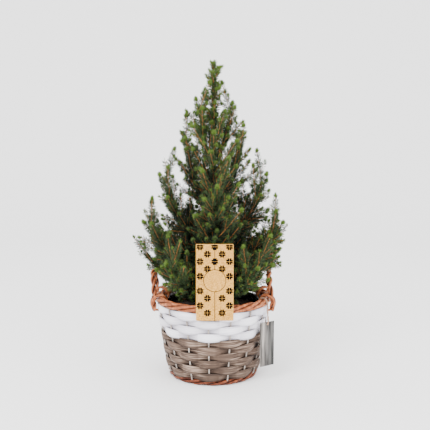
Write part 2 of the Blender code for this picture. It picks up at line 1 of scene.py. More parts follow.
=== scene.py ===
# %% [markdown]
# # A dwarf spruce in a woven basket
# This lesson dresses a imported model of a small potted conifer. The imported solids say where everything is
# and how large it is; the cells below grow bark, twigs and needles over them and weave the basket again
# from strips and rods. Each step says what the real piece is, how it could be made, and why one way won.

import math
import random

import bmesh
import bpy
import numpy as np
from mathutils import Matrix, Vector, kdtree, noise


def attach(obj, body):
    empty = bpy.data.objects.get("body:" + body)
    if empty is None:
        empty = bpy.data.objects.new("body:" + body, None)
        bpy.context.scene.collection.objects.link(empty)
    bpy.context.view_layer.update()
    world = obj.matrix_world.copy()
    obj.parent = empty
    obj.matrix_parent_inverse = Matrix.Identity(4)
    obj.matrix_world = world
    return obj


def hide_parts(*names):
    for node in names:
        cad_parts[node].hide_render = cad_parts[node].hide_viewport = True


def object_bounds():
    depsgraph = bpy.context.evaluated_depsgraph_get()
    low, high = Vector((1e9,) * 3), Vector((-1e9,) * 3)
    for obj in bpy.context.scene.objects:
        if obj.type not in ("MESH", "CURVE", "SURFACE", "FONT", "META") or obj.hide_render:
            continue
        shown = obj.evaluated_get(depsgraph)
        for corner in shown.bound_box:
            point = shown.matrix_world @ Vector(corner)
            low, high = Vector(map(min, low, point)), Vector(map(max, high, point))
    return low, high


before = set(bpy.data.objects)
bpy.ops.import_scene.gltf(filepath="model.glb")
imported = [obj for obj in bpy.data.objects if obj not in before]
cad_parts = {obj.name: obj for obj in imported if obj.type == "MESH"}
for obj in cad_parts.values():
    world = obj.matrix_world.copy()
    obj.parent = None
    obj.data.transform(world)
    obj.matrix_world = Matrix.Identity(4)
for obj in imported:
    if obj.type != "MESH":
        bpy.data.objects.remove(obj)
cad_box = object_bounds()
print("solids:", len(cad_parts), "box:", cad_box)

# %% [markdown]
# ## Camera
# The photograph was taken from the front, a little above the middle of the tree, with a short telephoto
# lens. A camera 1.4 m away that looks down by about 7 degrees gives the same foreshortening of the rim.

# %% Camera
CAMERA_LENS = 57.0
CAMERA_PLACE = (0.004, -1.4, 0.500)
CAMERA_DOWN = math.radians(6.8)


def add_object(name, data):
    obj = bpy.data.objects.new(name, data)
    bpy.context.scene.collection.objects.link(obj)
    return obj


camera_data = bpy.data.cameras.new("camera")
camera_data.lens = CAMERA_LENS
camera = add_object("camera", camera_data)
camera.location = CAMERA_PLACE
camera.rotation_euler = (math.pi / 2 - CAMERA_DOWN, 0, 0)
bpy.context.scene.camera = camera
print("camera lens:", camera_data.lens, "mm")

# %% [markdown]
# ## Finishes
# Every finish is a Principled shader with noise for colour and relief. Small helpers keep the node trees
# short: one starts a finish, one makes grain, one turns grain into colours, one mixes or multiplies two
# colours, one reads a value stored in the mesh and one makes relief. The grain reads Object coordinates, so
# it stays on the piece and needs no unwrapping. Many finishes need one grain only, and the last helper
# makes those in one go.

# %% Helpers for finishes
def start_finish(name, roughness, gloss=0.2):
    finish = bpy.data.materials.new(name)
    finish.use_nodes = True
    shader = finish.node_tree.nodes["Principled BSDF"]
    shader.inputs["Roughness"].default_value = roughness
    shader.inputs["Specular IOR Level"].default_value = gloss
    return finish, finish.node_tree, shader


def grain(tree, scale, stretch=(1, 1, 1), detail=4.0):
    place = tree.nodes.new("ShaderNodeTexCoord")
    stretching = tree.nodes.new("ShaderNodeMapping")
    stretching.inputs["Scale"].default_value = stretch
    pattern = tree.nodes.new("ShaderNodeTexNoise")
    pattern.inputs["Scale"].default_value = scale
    pattern.inputs["Detail"].default_value = detail
    tree.links.new(place.outputs["Object"], stretching.inputs["Vector"])
    tree.links.new(stretching.outputs["Vector"], pattern.inputs["Vector"])
    return pattern.outputs["Fac"]


def shades(tree, source, stops):
    ramp = tree.nodes.new("ShaderNodeValToRGB")
    while len(ramp.color_ramp.elements) < len(stops):
        ramp.color_ramp.elements.new(0.5)
    for element, (position, colour) in zip(ramp.color_ramp.elements, stops):
        element.position = position
        element.color = (*colour, 1.0)
    tree.links.new(source, ramp.inputs["Fac"])
    return ramp.outputs["Color"]


def blended(tree, first, second, amount=None):
    """The second colour over the first by an amount, or the two multiplied where there is no amount."""
    mix = tree.nodes.new("ShaderNodeMix")
    mix.data_type = "RGBA"
    sockets = {socket.identifier: socket for socket in [*mix.inputs, *mix.outputs]}
    if amount is None:
        mix.blend_type = "MULTIPLY"
        sockets["Factor_Float"].default_value = 1.0
    else:
        tree.links.new(amount, sockets["Factor_Float"])
    tree.links.new(first, sockets["A_Color"])
    tree.links.new(second, sockets["B_Color"])
    return sockets["Result_Color"]


def stored(tree, name):
    """A value that the mesh keeps at each vertex."""
    node = tree.nodes.new("ShaderNodeAttribute")
    node.attribute_name = name
    return node.outputs["Fac"]


def relief(tree, shader, source, depth):
    bump = tree.nodes.new("ShaderNodeBump")
    bump.inputs["Distance"].default_value = depth
    tree.links.new(source, bump.inputs["Height"])
    tree.links.new(bump.outputs["Normal"], shader.inputs["Normal"])


def grained_finish(name, roughness, texture, stops, depth=0.0, gloss=0.2):
    """A finish from one grain; the texture is its scale, stretch and detail."""
    finish, tree, shader = start_finish(name, roughness, gloss)
    pattern = grain(tree, *texture)
    tree.links.new(shades(tree, pattern, stops), shader.inputs["Base Color"])
    if depth:
        relief(tree, shader, pattern, depth)
    return finish


print("finish helpers ready")

# %% [markdown]
# ## Pieces
# A piece is a mesh whose object stays at the origin. Rods, stakes and twigs are curves with a round
# section that become a mesh, because a curve keeps a rod's width round every bend. One curve can hold
# many splines, so a whole family of rods is made in one go.

# %% Helpers for pieces
WELD = 0.00001


def polar(radius, bearing, z=0.0, side=1):
    """A place by its distance and bearing from the middle; side -1 mirrors it to the left."""
    return Vector((side * radius * math.cos(bearing), radius * math.sin(bearing), z))


def verts_of(geometry):
    return [item for item in geometry if isinstance(item, bmesh.types.BMVert)]


def mesh_of(name, bm):
    mesh = bpy.data.meshes.new(name)
    bm.to_mesh(mesh)
    bm.free()
    return mesh


def bevel(bm, edges, offset, segments):
    bmesh.ops.bevel(
        bm, geom=edges, offset=offset, segments=segments, profile=0.5, affect="EDGES", material=-1,
    )


def place_piece(name, mesh, finish, slot_name, *nodes, smooth=True):
    piece = add_object(name, mesh)
    mesh.materials.clear()
    mesh.materials.append(finish)
    mesh.polygons.foreach_set("use_smooth", [smooth] * len(mesh.polygons))
    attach(piece, "root")
    if nodes:
        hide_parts(*nodes)
    mesh.calc_loop_triangles()
    print(name, len(mesh.loop_triangles), "triangles")
    return piece


def evaluated_mesh(obj, name):
    bpy.context.view_layer.update()
    graph = bpy.context.evaluated_depsgraph_get()
    mesh = bpy.data.meshes.new_from_object(obj.evaluated_get(graph))
    mesh.name = name
    bpy.data.objects.remove(obj)
    return mesh


def rods_mesh(name, rods, resolution=2, closed=False):
    """One mesh of round rods; each rod is (points, radius at each point)."""
    curve = bpy.data.curves.new(name, "CURVE")
    curve.dimensions = "3D"
    curve.bevel_depth = 1.0
    curve.bevel_resolution = resolution
    curve.use_fill_caps = not closed
    for points, radii in rods:
        spline = curve.splines.new("POLY")
        spline.points.add(len(points) - 1)
        spline.points.foreach_set("co", np.array([(*point, 1.0) for point in points]).ravel())
        spline.points.foreach_set("radius", np.array(radii, dtype=float))
        spline.use_cyclic_u = closed
    mesh = evaluated_mesh(add_object(name, curve), name)
    bm = bmesh.new()
    bm.from_mesh(mesh)
    bmesh.ops.remove_doubles(bm, verts=bm.verts, dist=WELD)
    bmesh.ops.recalc_face_normals(bm, faces=bm.faces)
    bm.to_mesh(mesh)
    bm.free()
    return mesh


print("piece helpers ready")

# %% [markdown]
# ## Floor and light
# The product stands on a white sweep with almost no shadow. A plane whose far edge is bent upwards hides
# the horizon, a white world fills from all sides, and two large area lights give the soft shape.

# %% Floor
FLOOR_HALF = 3.0
FLOOR_BEND = 1.2
FLOOR_WHITE = (0.90, 0.90, 0.90, 1.0)

floor_bm = bmesh.new()
bmesh.ops.create_grid(floor_bm, x_segments=1, y_segments=1, size=FLOOR_HALF)
far_edge = [edge for edge in floor_bm.edges if all(vert.co.y > 0.9 * FLOOR_HALF for vert in edge.verts)]
raised = bmesh.ops.extrude_edge_only(floor_bm, edges=far_edge)
bmesh.ops.translate(floor_bm, vec=(0, 0, FLOOR_HALF), verts=verts_of(raised["geom"]))
bevel(floor_bm, far_edge, FLOOR_BEND, 16)
floor_mesh = mesh_of("floor", floor_bm)
floor_mesh.polygons.foreach_set("use_smooth", [True] * len(floor_mesh.polygons))
floor = add_object("floor", floor_mesh)
floor_finish, _, floor_shader = start_finish("floor_paper", 0.9)
floor_shader.inputs["Base Color"].default_value = FLOOR_WHITE
floor_mesh.materials.append(floor_finish)
print("floor size:", floor.dimensions[:])

# %% Light
WORLD_STRENGTH = 2.7

world = bpy.data.worlds.new("studio")
world.use_nodes = True
world.node_tree.nodes["Background"].inputs["Color"].default_value = (1.0, 1.0, 1.0, 1.0)
world.node_tree.nodes["Background"].inputs["Strength"].default_value = WORLD_STRENGTH
bpy.context.scene.world = world


def area_light(name, place, target, size, power):
    data = bpy.data.lights.new(name, "AREA")
    data.size = size
    data.energy = power
    light = add_object(name, data)
    light.location = place
    light.rotation_euler = (Vector(target) - Vector(place)).to_track_quat("-Z", "Y").to_euler()


area_light("key", (-1.1, -1.6, 1.9), (0, 0, 0.3), 1.2, 72)
area_light("fill", (1.6, -1.3, 0.9), (0, 0, 0.25), 1.4, 29)
print("lights placed")

# %% [markdown]
# ## Basket measures
# The wall flares from foot to rim. These measures are the ones the solids were made with, so each woven
# piece lies where its solid does.

# %% Basket measures
ROWS = 10
WHITE_ROWS = 4
STAKES = 16
FIRST_STAKE = math.radians(-94.5)
ROW_PITCH = 0.0140
WALL_FOOT = 0.0125
WALL_TOP = WALL_FOOT + ROWS * ROW_PITCH
FOOT_RADIUS = 0.0945
TOP_RADIUS = 0.1200
FLARE_POWER = 0.75
STRIP_WAVE = 0.0038
STRIP_HALF = 0.0010
GAP = 0.0003
RIM_RADIUS = 0.1130
RIM_ROD = 0.0082
RIM_HEIGHT = WALL_TOP + GAP + RIM_ROD
COMPOST_TOP = 0.1400


def stake_circle(z):
    outer = FOOT_RADIUS + (TOP_RADIUS - FOOT_RADIUS) * (max(z, 0.0) / WALL_TOP) ** FLARE_POWER
    return outer - STRIP_WAVE - STRIP_HALF


print("stake circle at the rim:", round(stake_circle(WALL_TOP), 4))

# %% [markdown]
# ## Chipwood strips
# Each row is one flat strip of split wood that runs in front of one stake and behind the next. Where it
# passes behind a stake it is pinched narrow, and where it passes in front it lies broad, so the wall shows
# a pattern of pointed lenses. A ring of quads is extruded in steps across the strip, then every vertex is
# set to the wave, the pinch and a slight cup; Solidify gives the thickness.

# %% Finish of the strips
def strip_finish(name, dark, middle, pale, dark_tone_and_shade, roughness):
    finish, tree, shader = start_finish(name, roughness)
    streaks = grain(tree, 1.0, (26, 26, 520), 6.0)
    patches = grain(tree, 34.0, (1, 1, 0.5), 2.0)
    base = shades(tree, streaks, [(0.32, dark), (0.50, middle), (0.67, pale)])
    aged = shades(tree, streaks, [(0.25, dark), (0.62, middle)])
    patchy = shades(tree, patches, [(0.42, (0, 0, 0)), (0.62, (1, 1, 1))])
    # Painted shade: the stored value darkens the strip where it passes behind a stake and towards its edges,
    # and adds a random tone for each lens.
    tone_and_shade_ramp = shades(tree, stored(tree, "tone_and_shade"), [(0.0, dark_tone_and_shade), (1.0, (1, 1, 1))])
    colour = blended(tree, blended(tree, base, aged, patchy), tone_and_shade_ramp)
    tree.links.new(colour, shader.inputs["Base Color"])
    relief(tree, shader, streaks, 0.0006)
    return finish


white_paint = strip_finish(
    "white_strip", dark=(0.72, 0.70, 0.76), middle=(0.92, 0.90, 0.96), pale=(0.98, 0.97, 1.0),
    dark_tone_and_shade=(0.46, 0.44, 0.47), roughness=0.55,
)
grey_wood = strip_finish(
    "grey_strip", dark=(0.042, 0.026, 0.019), middle=(0.145, 0.092, 0.066), pale=(0.43, 0.315, 0.245),
    dark_tone_and_shade=(0.20, 0.18, 0.17), roughness=0.7,
)
print("strip finishes ready")

# %% Strips
STRIP_BROAD = 0.0089
STRIP_PINCHED = 0.0060
STRIP_PLAY = 0.0002  # how much less than the solid's wave the strip swings in and out
STRIP_SWAY = 0.0005
STRIP_CUP = 0.30
STRIP_THICKNESS = 0.0011
STEPS_PER_STAKE = 12
STEPS_ACROSS = 4


def strip_row(row):
    middle = WALL_FOOT + (row + 0.5) * ROW_PITCH
    draw = random.Random(100 + row)
    bm = bmesh.new()
    bmesh.ops.create_circle(bm, segments=STAKES * STEPS_PER_STAKE, radius=1.0)
    loop = bm.edges[:]
    for level in range(1, STEPS_ACROSS + 1):
        raised = bmesh.ops.extrude_edge_only(bm, edges=loop)["geom"]
        loop = [item for item in raised if isinstance(item, bmesh.types.BMEdge)]
        for vert in verts_of(raised):
            vert.co.z = level
    swings = [draw.uniform(-1, 1) for _ in range(STAKES)]
    tone_and_shade = bm.verts.layers.float.new("tone_and_shade")
    for vert in bm.verts:
        bearing = math.atan2(vert.co.y, vert.co.x)
        across = 2 * vert.co.z / STEPS_ACROSS - 1
        turn = (bearing - FIRST_STAKE) * STAKES / (2 * math.pi)
        wave = math.cos(math.pi * (turn + row))
        half = STRIP_PINCHED + (STRIP_BROAD - STRIP_PINCHED) * (0.5 + 0.5 * wave) ** 0.9
        swing = swings[round(turn) % STAKES]
        z = middle + swing * STRIP_SWAY * (0.5 + 0.5 * wave) + half * across
        cupped = (STRIP_WAVE - STRIP_PLAY) * wave * (1 - STRIP_CUP * across ** 2)
        radius = stake_circle(middle + half * across) + cupped
        vert.co = polar(radius, bearing, z)
        # Painted shade behind each stake and along the strip's edges, with a random tone for each lens from
        # its swing.
        vert[tone_and_shade] = 0.80 + 0.20 * swing - 0.55 * (0.5 - 0.5 * wave) ** 1.3 - 0.30 * abs(across) ** 3
    bmesh.ops.recalc_face_normals(bm, faces=bm.faces)
    return mesh_of("strip", bm)


def thicken(piece, thickness):
    wall = piece.modifiers.new("Thickness", "SOLIDIFY")
    wall.thickness = thickness
    wall.offset = 0.0


for row in range(ROWS):
    painted = row >= ROWS - WHITE_ROWS
    strip = place_piece(
        f"strip_{row + 1:02d}", strip_row(row), white_paint if painted else grey_wood,
        "white_strip" if painted else "grey_strip", f"weave_row_{row + 1:02d}",
    )
    thicken(strip, STRIP_THICKNESS)

# %% [markdown]
# ## Willow rods
# The borders and handles are peeled willow, twisted together. Each rod of a twist is its own closed curve
# that circles the border's middle line as it goes round, so the groove between the rods is real. The groove
# is painted darker as shade, so each vertex keeps how far out of the twist it lies and the colour reads it.

# %% Finish of the willow
GROOVE_PAINTED_SHADE = [(0.52, (0.16, 0.11, 0.09)), (0.80, (0.72, 0.67, 0.64)), (1.0, (1, 1, 1))]


def willow_finish(name, dark, middle, pale, grooved=True):
    finish, tree, shader = start_finish(name, 0.42)
    mottle = grain(tree, 130.0, (1, 1, 1), 6.0)
    colour = shades(tree, mottle, [(0.32, dark), (0.52, middle), (0.72, pale)])
    if grooved:
        # Painted shade: the colour darkens towards the groove between the rods.
        colour = blended(tree, colour, shades(tree, stored(tree, "out_of_twist"), GROOVE_PAINTED_SHADE))
    tree.links.new(colour, shader.inputs["Base Color"])
    relief(tree, shader, grain(tree, 420.0, (1, 1, 1), 3.0), 0.0004)
    return finish


def mark_twist(mesh, middle_line, rod):
    """Each vertex's distance from the twist's middle line, as a share of the twist's radius."""
    near = kdtree.KDTree(len(middle_line))
    for index, point in enumerate(middle_line):
        near.insert(point, index)
    near.balance()
    layer = mesh.attributes.new("out_of_twist", "FLOAT", "POINT")
    layer.data.foreach_set("value", [min(1.0, near.find(vert.co)[2] / rod) for vert in mesh.vertices])


willow = willow_finish("willow", (0.17, 0.044, 0.016), (0.35, 0.106, 0.037), (0.58, 0.225, 0.100))
red_willow = willow_finish("red_willow", (0.055, 0.012, 0.005), (0.150, 0.034, 0.012), (0.30, 0.085, 0.034))
pale_stake = willow_finish("stake_wood", (0.20, 0.16, 0.135), (0.34, 0.29, 0.255), (0.50, 0.45, 0.41), False)
print("willow finishes ready")

# %% Twisted rods
STEPS_ROUND = 320
MARKS_ROUND = 720


def ring_line(radius, height, count):
    return [polar(radius, 2 * math.pi * step / count, height) for step in range(count)]


def twisted_along(points, rod, strands, twists, closed=False):
    """Rods twisted round a line of points, as thick as just fills the twist's radius."""
    thick = rod * math.sin(math.pi / strands) / (1 + math.sin(math.pi / strands)) * 1.02
    count = len(points)
    ahead = points[1:] + [points[0] if closed else points[-1]]
    behind = [points[-1] if closed else points[0]] + points[:-1]
    rods = []
    for strand in range(strands):
        path = []
        for index, point in enumerate(points):
            run = (ahead[index] - behind[index]).normalized()
            across = run.cross(Vector((0, 0, 1))).normalized() if abs(run.z) < 0.99 else Vector((0, 1, 0))
            if across.x * point.x + across.y * point.y < 0:
                across = -across
            third = run.cross(across)
            turn = 2 * math.pi * (twists * index / (count if closed else count - 1) + strand / strands)
            path.append(point + (across * math.cos(turn) + third * math.sin(turn)) * (rod - thick))
        rods.append((path, [thick] * count))
    return rods


def border_piece(name, radius, height, rod, twists, strands, finish, slot_name, node):
    ring = ring_line(radius, height, STEPS_ROUND)
    mesh = rods_mesh(name, twisted_along(ring, rod, strands, twists, closed=True), closed=True)
    mark_twist(mesh, ring_line(radius, height, MARKS_ROUND), rod)
    place_piece(name, mesh, finish, slot_name, node)


border_piece("rim_rods", RIM_RADIUS, RIM_HEIGHT, RIM_ROD, -5, 4, willow, "willow", "rim")

# %% Foot border and stakes
FOOT_RING_RADIUS = 0.0885
FOOT_RING_ROD = 0.0058
FOOT_RING_HEIGHT = GAP + FOOT_RING_ROD
STAKE_RADIUS = 0.0015
STAKE_RISE = 0.003

border_piece(
    "foot_rods", FOOT_RING_RADIUS, FOOT_RING_HEIGHT, FOOT_RING_ROD, -6, 3, red_willow, "red_willow",
    "foot_ring_and_stakes",
)
stakes = []
for index in range(STAKES):
    bearing = FIRST_STAKE + index * 2 * math.pi / STAKES
    line = [(FOOT_RING_RADIUS, FOOT_RING_HEIGHT)]
    line += [(stake_circle(z), z) for z in np.linspace(WALL_FOOT, WALL_TOP + STAKE_RISE, 9)]
    points = [polar(r, bearing, z) for r, z in line]
    stakes.append((points, [STAKE_RADIUS] * len(points)))
place_piece("stake_rods", rods_mesh("stake_rods", stakes), pale_stake, "red_willow")

# %% Foot board
board = grained_finish(
    "board", 0.8, (1.0, (160, 16, 160), 5.0),
    [(0.35, (0.14, 0.09, 0.055)), (0.65, (0.26, 0.18, 0.12))], 0.0003,
)
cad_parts["base_plate"].data.materials.clear()
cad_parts["base_plate"].data.materials.append(board)
print("foot board painted")

# %% [markdown]
# ## Ear handles
# Each handle is a hoop of twisted willow whose two feet go down outside the rim. Thin rods loop over the
# rim and round each foot to hold it. The hoop's middle line is the solid's own line.

# %% Handle line
HANDLE_ANGLE = math.radians(18)
HANDLE_TOP = 0.2140
HANDLE_ROD = 0.0056
HANDLE_LEANS = {-1: -0.0020, 1: -0.0100}
HANDLE_STEPS = 12
HANDLE_OVERRUN = 0.15
STUB = 0.0120
WRAP_RADIUS = 0.0160
WRAP_ROD = 0.0022
WRAP_SHIFT = 0.0030
WRAP_DROP = 0.0040


def handle_line(side, steps=HANDLE_STEPS):
    outside = RIM_RADIUS + RIM_ROD + HANDLE_ROD + GAP
    low = RIM_HEIGHT - RIM_ROD - STUB
    points = []
    for step in range(steps + 1):
        share = step / steps
        swing = math.pi * (share * (1 + 2 * HANDLE_OVERRUN) - HANDLE_OVERRUN)
        bearing = -HANDLE_ANGLE * math.cos(min(max(swing, 0), math.pi))
        rise = math.sin(swing)
        z = RIM_HEIGHT + (HANDLE_TOP - RIM_HEIGHT) * rise
        if rise < 0:
            z = RIM_HEIGHT + (RIM_HEIGHT - low) * rise / math.sin(math.pi * HANDLE_OVERRUN)
        radius = outside + HANDLE_LEANS[side] * max(rise, 0.0)
        points.append(polar(radius, bearing, z, side))
    return points


print("left handle top:", max(point.z for point in handle_line(-1)))

# %% Handles
TWIST_STRANDS = 2
TWIST_TURNS = 4.5
WRAP_LOOPS = ((-0.0028, -6), (0.0028, 8))  # each loop's shift along the rim, and its tilt in degrees
WRAP_START = -80
WRAP_SWEEP = 310
WRAP_STEPS = 32


def round_the_rim(outward, swing):
    """A direction that starts outwards and swings up and over the rim."""
    return outward * math.cos(swing) + Vector((0, 0, math.sin(swing)))


def wrap_rods(side, end):
    outward = polar(1, end * HANDLE_ANGLE, 0, side)
    sideways = Vector((-outward.y, outward.x, 0))
    foot = outward * (RIM_RADIUS + WRAP_SHIFT) + Vector((0, 0, RIM_HEIGHT - WRAP_DROP))
    rods = []
    for shift, tilt in WRAP_LOOPS:
        lean = sideways * math.sin(math.radians(tilt))
        points = []
        for step in range(WRAP_STEPS + 1):
            swing = math.radians(WRAP_START + tilt + WRAP_SWEEP * step / WRAP_STEPS)
            reach = round_the_rim(outward, swing) + lean * math.sin(swing)
            points.append(foot + sideways * shift + reach * WRAP_RADIUS)
        rods.append((points, [WRAP_ROD * 1.05] * len(points)))
    return rods


for side, word in ((-1, "left"), (1, "right")):
    rods = twisted_along(handle_line(side, 96), HANDLE_ROD, TWIST_STRANDS, TWIST_TURNS)
    rods += wrap_rods(side, -1) + wrap_rods(side, 1)
    handle_mesh = rods_mesh("handle_rods", rods)
    mark_twist(handle_mesh, handle_line(side, 480), HANDLE_ROD)
    place_piece(f"handle_rods_{word}", handle_mesh, willow, "willow", f"handle_{word}")

# %% [markdown]
# ## Film and compost
# A thin black film lines the basket. Its top edge was folded in by hand, so it waves. It is a turned shape
# whose lip is then moved by noise. The compost is a lumpy disc with loose crumbs scattered over it.

# %% Film
LINER_TOP = 0.1600
FILM_FLOOR = 0.0053
FILM_THICKNESS = 0.0004
FILM_STEPS = 144

film, film_tree, film_shader = start_finish("film", 0.24, 1.0)
film_shader.inputs["Base Color"].default_value = (0.060, 0.060, 0.064, 1.0)
relief(film_tree, film_shader, grain(film_tree, 90.0, (1, 1, 0.35), 3.0), 0.004)


def turned(profile, steps):
    """A profile of radii and heights turned about the middle."""
    bm = bmesh.new()
    verts = [bm.verts.new((r, 0, z)) for r, z in profile]
    for low, high in zip(verts, verts[1:]):
        bm.edges.new((low, high))
    bmesh.ops.spin(
        bm, geom=bm.verts[:] + bm.edges[:], cent=(0, 0, 0), axis=(0, 0, 1), angle=2 * math.pi, steps=steps,
        use_merge=True,
    )
    bmesh.ops.remove_doubles(bm, verts=bm.verts, dist=WELD)
    return bm


def film_profile():
    foot = FOOT_RING_RADIUS - FOOT_RING_ROD - 2 * GAP
    lip = RIM_RADIUS + WRAP_SHIFT - WRAP_RADIUS - WRAP_ROD - GAP
    line = [(0.0, FILM_FLOOR), (foot - 0.002, FILM_FLOOR), (foot, WALL_FOOT)]
    for z in (0.024, 0.050, 0.075, 0.105, 0.134):
        line.append((stake_circle(z) - STRIP_WAVE - STRIP_HALF - 2 * GAP, z))
    line += [(lip + 0.0015, WALL_TOP - 0.004), (lip, WALL_TOP + 0.002), (lip, LINER_TOP)]
    return line


film_bm = turned(film_profile(), FILM_STEPS)
for vert in film_bm.verts:
    if vert.co.z > WALL_TOP:
        away = Vector((vert.co.x, vert.co.y, 0)).normalized()
        ripple = noise.noise(Vector((away.x * 5, away.y * 5, 3.1)))
        crease = noise.noise(Vector((away.x * 14, away.y * 14, 7.7)))
        share = (vert.co.z - WALL_TOP) / (LINER_TOP - WALL_TOP)
        vert.co -= away * share * (0.0030 + 0.0045 * ripple + 0.0030 * crease)
        vert.co.z -= share * max(0.0, 0.0025 - 0.0045 * ripple)
bmesh.ops.recalc_face_normals(film_bm, faces=film_bm.faces)
film_piece = place_piece("film_lining", mesh_of("film", film_bm), film, "film", "liner")
thicken(film_piece, FILM_THICKNESS)

# %% Compost
COMPOST_RADIUS = RIM_RADIUS - 0.0135
COMPOST_HOLE = 0.004
COMPOST_SINK = 0.0032
COMPOST_RINGS = 27
COMPOST_STEPS = 120

earth = grained_finish(
    "earth", 0.95, (380.0, (1, 1, 1), 6.0),
    [(0.35, (0.012, 0.008, 0.006)), (0.60, (0.045, 0.030, 0.021)), (0.78, (0.12, 0.085, 0.06))], 0.0012,
)
rings = np.linspace(COMPOST_HOLE, COMPOST_RADIUS, COMPOST_RINGS)
compost_bm = turned([(r, COMPOST_TOP - COMPOST_SINK) for r in rings], COMPOST_STEPS)
for vert in compost_bm.verts:
    vert.co.z += noise.noise(vert.co * 60) * 0.0016 + noise.noise(vert.co * 210) * 0.0011
bmesh.ops.recalc_face_normals(compost_bm, faces=compost_bm.faces)
for face in compost_bm.faces:
    if face.normal.z < 0:
        face.normal_flip()
place_piece("compost_top", mesh_of("compost_top", compost_bm), earth, "earth", "compost")

# %% [markdown]
# ## Copies joined into one mesh
# Crumbs and needles are one small shape repeated thousands of times. The shape comes from a bmesh
# operator; its copies are placed with array arithmetic and joined into one mesh, which is far quicker than
# thousands of objects.

# %% Helpers for joined copies
ROLLS = (0, 6.28)  # a copy may be rolled to any side


def shape_arrays(bm):
    """Points and triangles of a small shape."""
    bmesh.ops.triangulate(bm, faces=bm.faces)
    bm.verts.ensure_lookup_table()
    points = np.array([vert.co[:] for vert in bm.verts])
    faces = np.array([[vert.index for vert in face.verts] for face in bm.faces])
    bm.free()
    return points, faces


def unit(vectors):
    return vectors / np.linalg.norm(vectors, axis=1)[:, None]


def turned_about(directions, turns):
    """Unit vectors square to the directions, each turned about its own."""
    helper = np.where(np.abs(directions[:, 2:3]) < 0.9, [[0.0, 0.0, 1.0]], [[1.0, 0.0, 0.0]])
    across = unit(np.cross(helper, directions))
    third = np.cross(directions, across)
    return across * np.cos(turns)[:, None] + third * np.sin(turns)[:, None]


def joined_copies(name, shape, starts, directions, lengths, widths, rolls):
    """Copies of the shape: its Z goes along each direction, scaled by length, and its X and Y by width."""
    points, faces = shape
    turned_x = turned_about(directions, rolls)
    turned_y = np.cross(directions, turned_x)
    placed = (
        starts[:, None, :]
        + turned_x[:, None, :] * (points[None, :, 0:1] * widths[:, None, None])
        + turned_y[:, None, :] * (points[None, :, 1:2] * widths[:, None, None])
        + directions[:, None, :] * (points[None, :, 2:3] * lengths[:, None, None])
    )
    count = len(starts)
    corners = (faces[None, :, :] + (np.arange(count) * len(points))[:, None, None]).reshape(-1)
    mesh = bpy.data.meshes.new(name)
    mesh.vertices.add(count * len(points))
    mesh.vertices.foreach_set("co", placed.reshape(-1).astype(np.float32))
    mesh.loops.add(len(corners))
    mesh.loops.foreach_set("vertex_index", corners.astype(np.int32))
    mesh.polygons.add(len(corners) // 3)
    mesh.polygons.foreach_set("loop_start", np.arange(0, len(corners), 3, dtype=np.int32))
    mesh.update(calc_edges=True)
    mesh.validate()
    return mesh


print("copy helper ready")

# %% Crumbs
CRUMBS = 1300
CRUMB_SINK = 0.0030
CRUMB_PLAY = 0.001

crumb_bm = bmesh.new()
bmesh.ops.create_icosphere(crumb_bm, subdivisions=1, radius=1.0)
for vert in crumb_bm.verts:
    vert.co *= 0.75 + 0.5 * noise.noise(vert.co * 1.7)
crumb = shape_arrays(crumb_bm)
draw = np.random.default_rng(5)
spread = np.sqrt(draw.uniform(0.006, 1.0, CRUMBS)) * (COMPOST_RADIUS - 0.002)
bearings = draw.uniform(0, 2 * math.pi, CRUMBS)
crumb_heights = COMPOST_TOP - CRUMB_SINK + draw.uniform(-CRUMB_PLAY, CRUMB_PLAY, CRUMBS)
crumb_places = np.stack([spread * np.cos(bearings), spread * np.sin(bearings), crumb_heights], axis=1)
crumb_sizes = 0.0006 + 0.0016 * draw.random(CRUMBS) ** 2
crumb_aims = unit(draw.normal(size=(CRUMBS, 3)))
crumb_mesh = joined_copies(
    "compost_crumbs", crumb, crumb_places, crumb_aims, crumb_sizes, crumb_sizes * 0.7,
    draw.uniform(*ROLLS, CRUMBS),
)
place_piece("compost_crumbs", crumb_mesh, earth, "earth")

# %% [markdown]
# ## Star card
# A stiff kraft board leans on the rim. Dark eight-pointed stars, a traditional knitting pattern, are
# printed on it in a staggered grid, with a bare round field in the middle and a printed fold line down the
# centre. The board is a cube made thin and bevelled; each star is eight thin leaning blocks that lie just
# proud of it, so the edges stay sharp in every view.

# %% Card board
CARD_SIZE = (0.072, 0.0010, 0.148)
CARD_FOOT = (0.0035, 0.1430)
CARD_LEAN = math.radians(3)
CARD_ROUNDING = 0.0018
CARD_BACK = -(RIM_RADIUS + RIM_ROD + GAP) - (RIM_HEIGHT - CARD_FOOT[1]) * math.tan(CARD_LEAN)
CARD_TURN = Matrix.Translation((CARD_FOOT[0], CARD_BACK, CARD_FOOT[1])) @ Matrix.Rotation(-CARD_LEAN, 4, "X")

kraft = grained_finish(
    "kraft", 0.75, (420.0, (1, 1, 1.6), 5.0),
    [(0.36, (0.36, 0.165, 0.020)), (0.64, (0.68, 0.36, 0.080))], 0.0001,
)


def box(bm, size, middle=(0, 0, 0)):
    verts = bmesh.ops.create_cube(bm, size=1.0)["verts"]
    bmesh.ops.scale(bm, verts=verts, vec=size)
    bmesh.ops.translate(bm, verts=verts, vec=middle)
    return verts


card_bm = bmesh.new()
box(card_bm, CARD_SIZE, (0, -CARD_SIZE[1] / 2, CARD_SIZE[2] / 2))
corners = [edge for edge in card_bm.edges if abs(edge.verts[0].co.y - edge.verts[1].co.y) > CARD_SIZE[1] / 2]
bevel(card_bm, corners, CARD_ROUNDING, 4)
bmesh.ops.transform(card_bm, verts=card_bm.verts, matrix=CARD_TURN)
place_piece("star_card", mesh_of("star_card", card_bm), kraft, "kraft", "card", smooth=False)

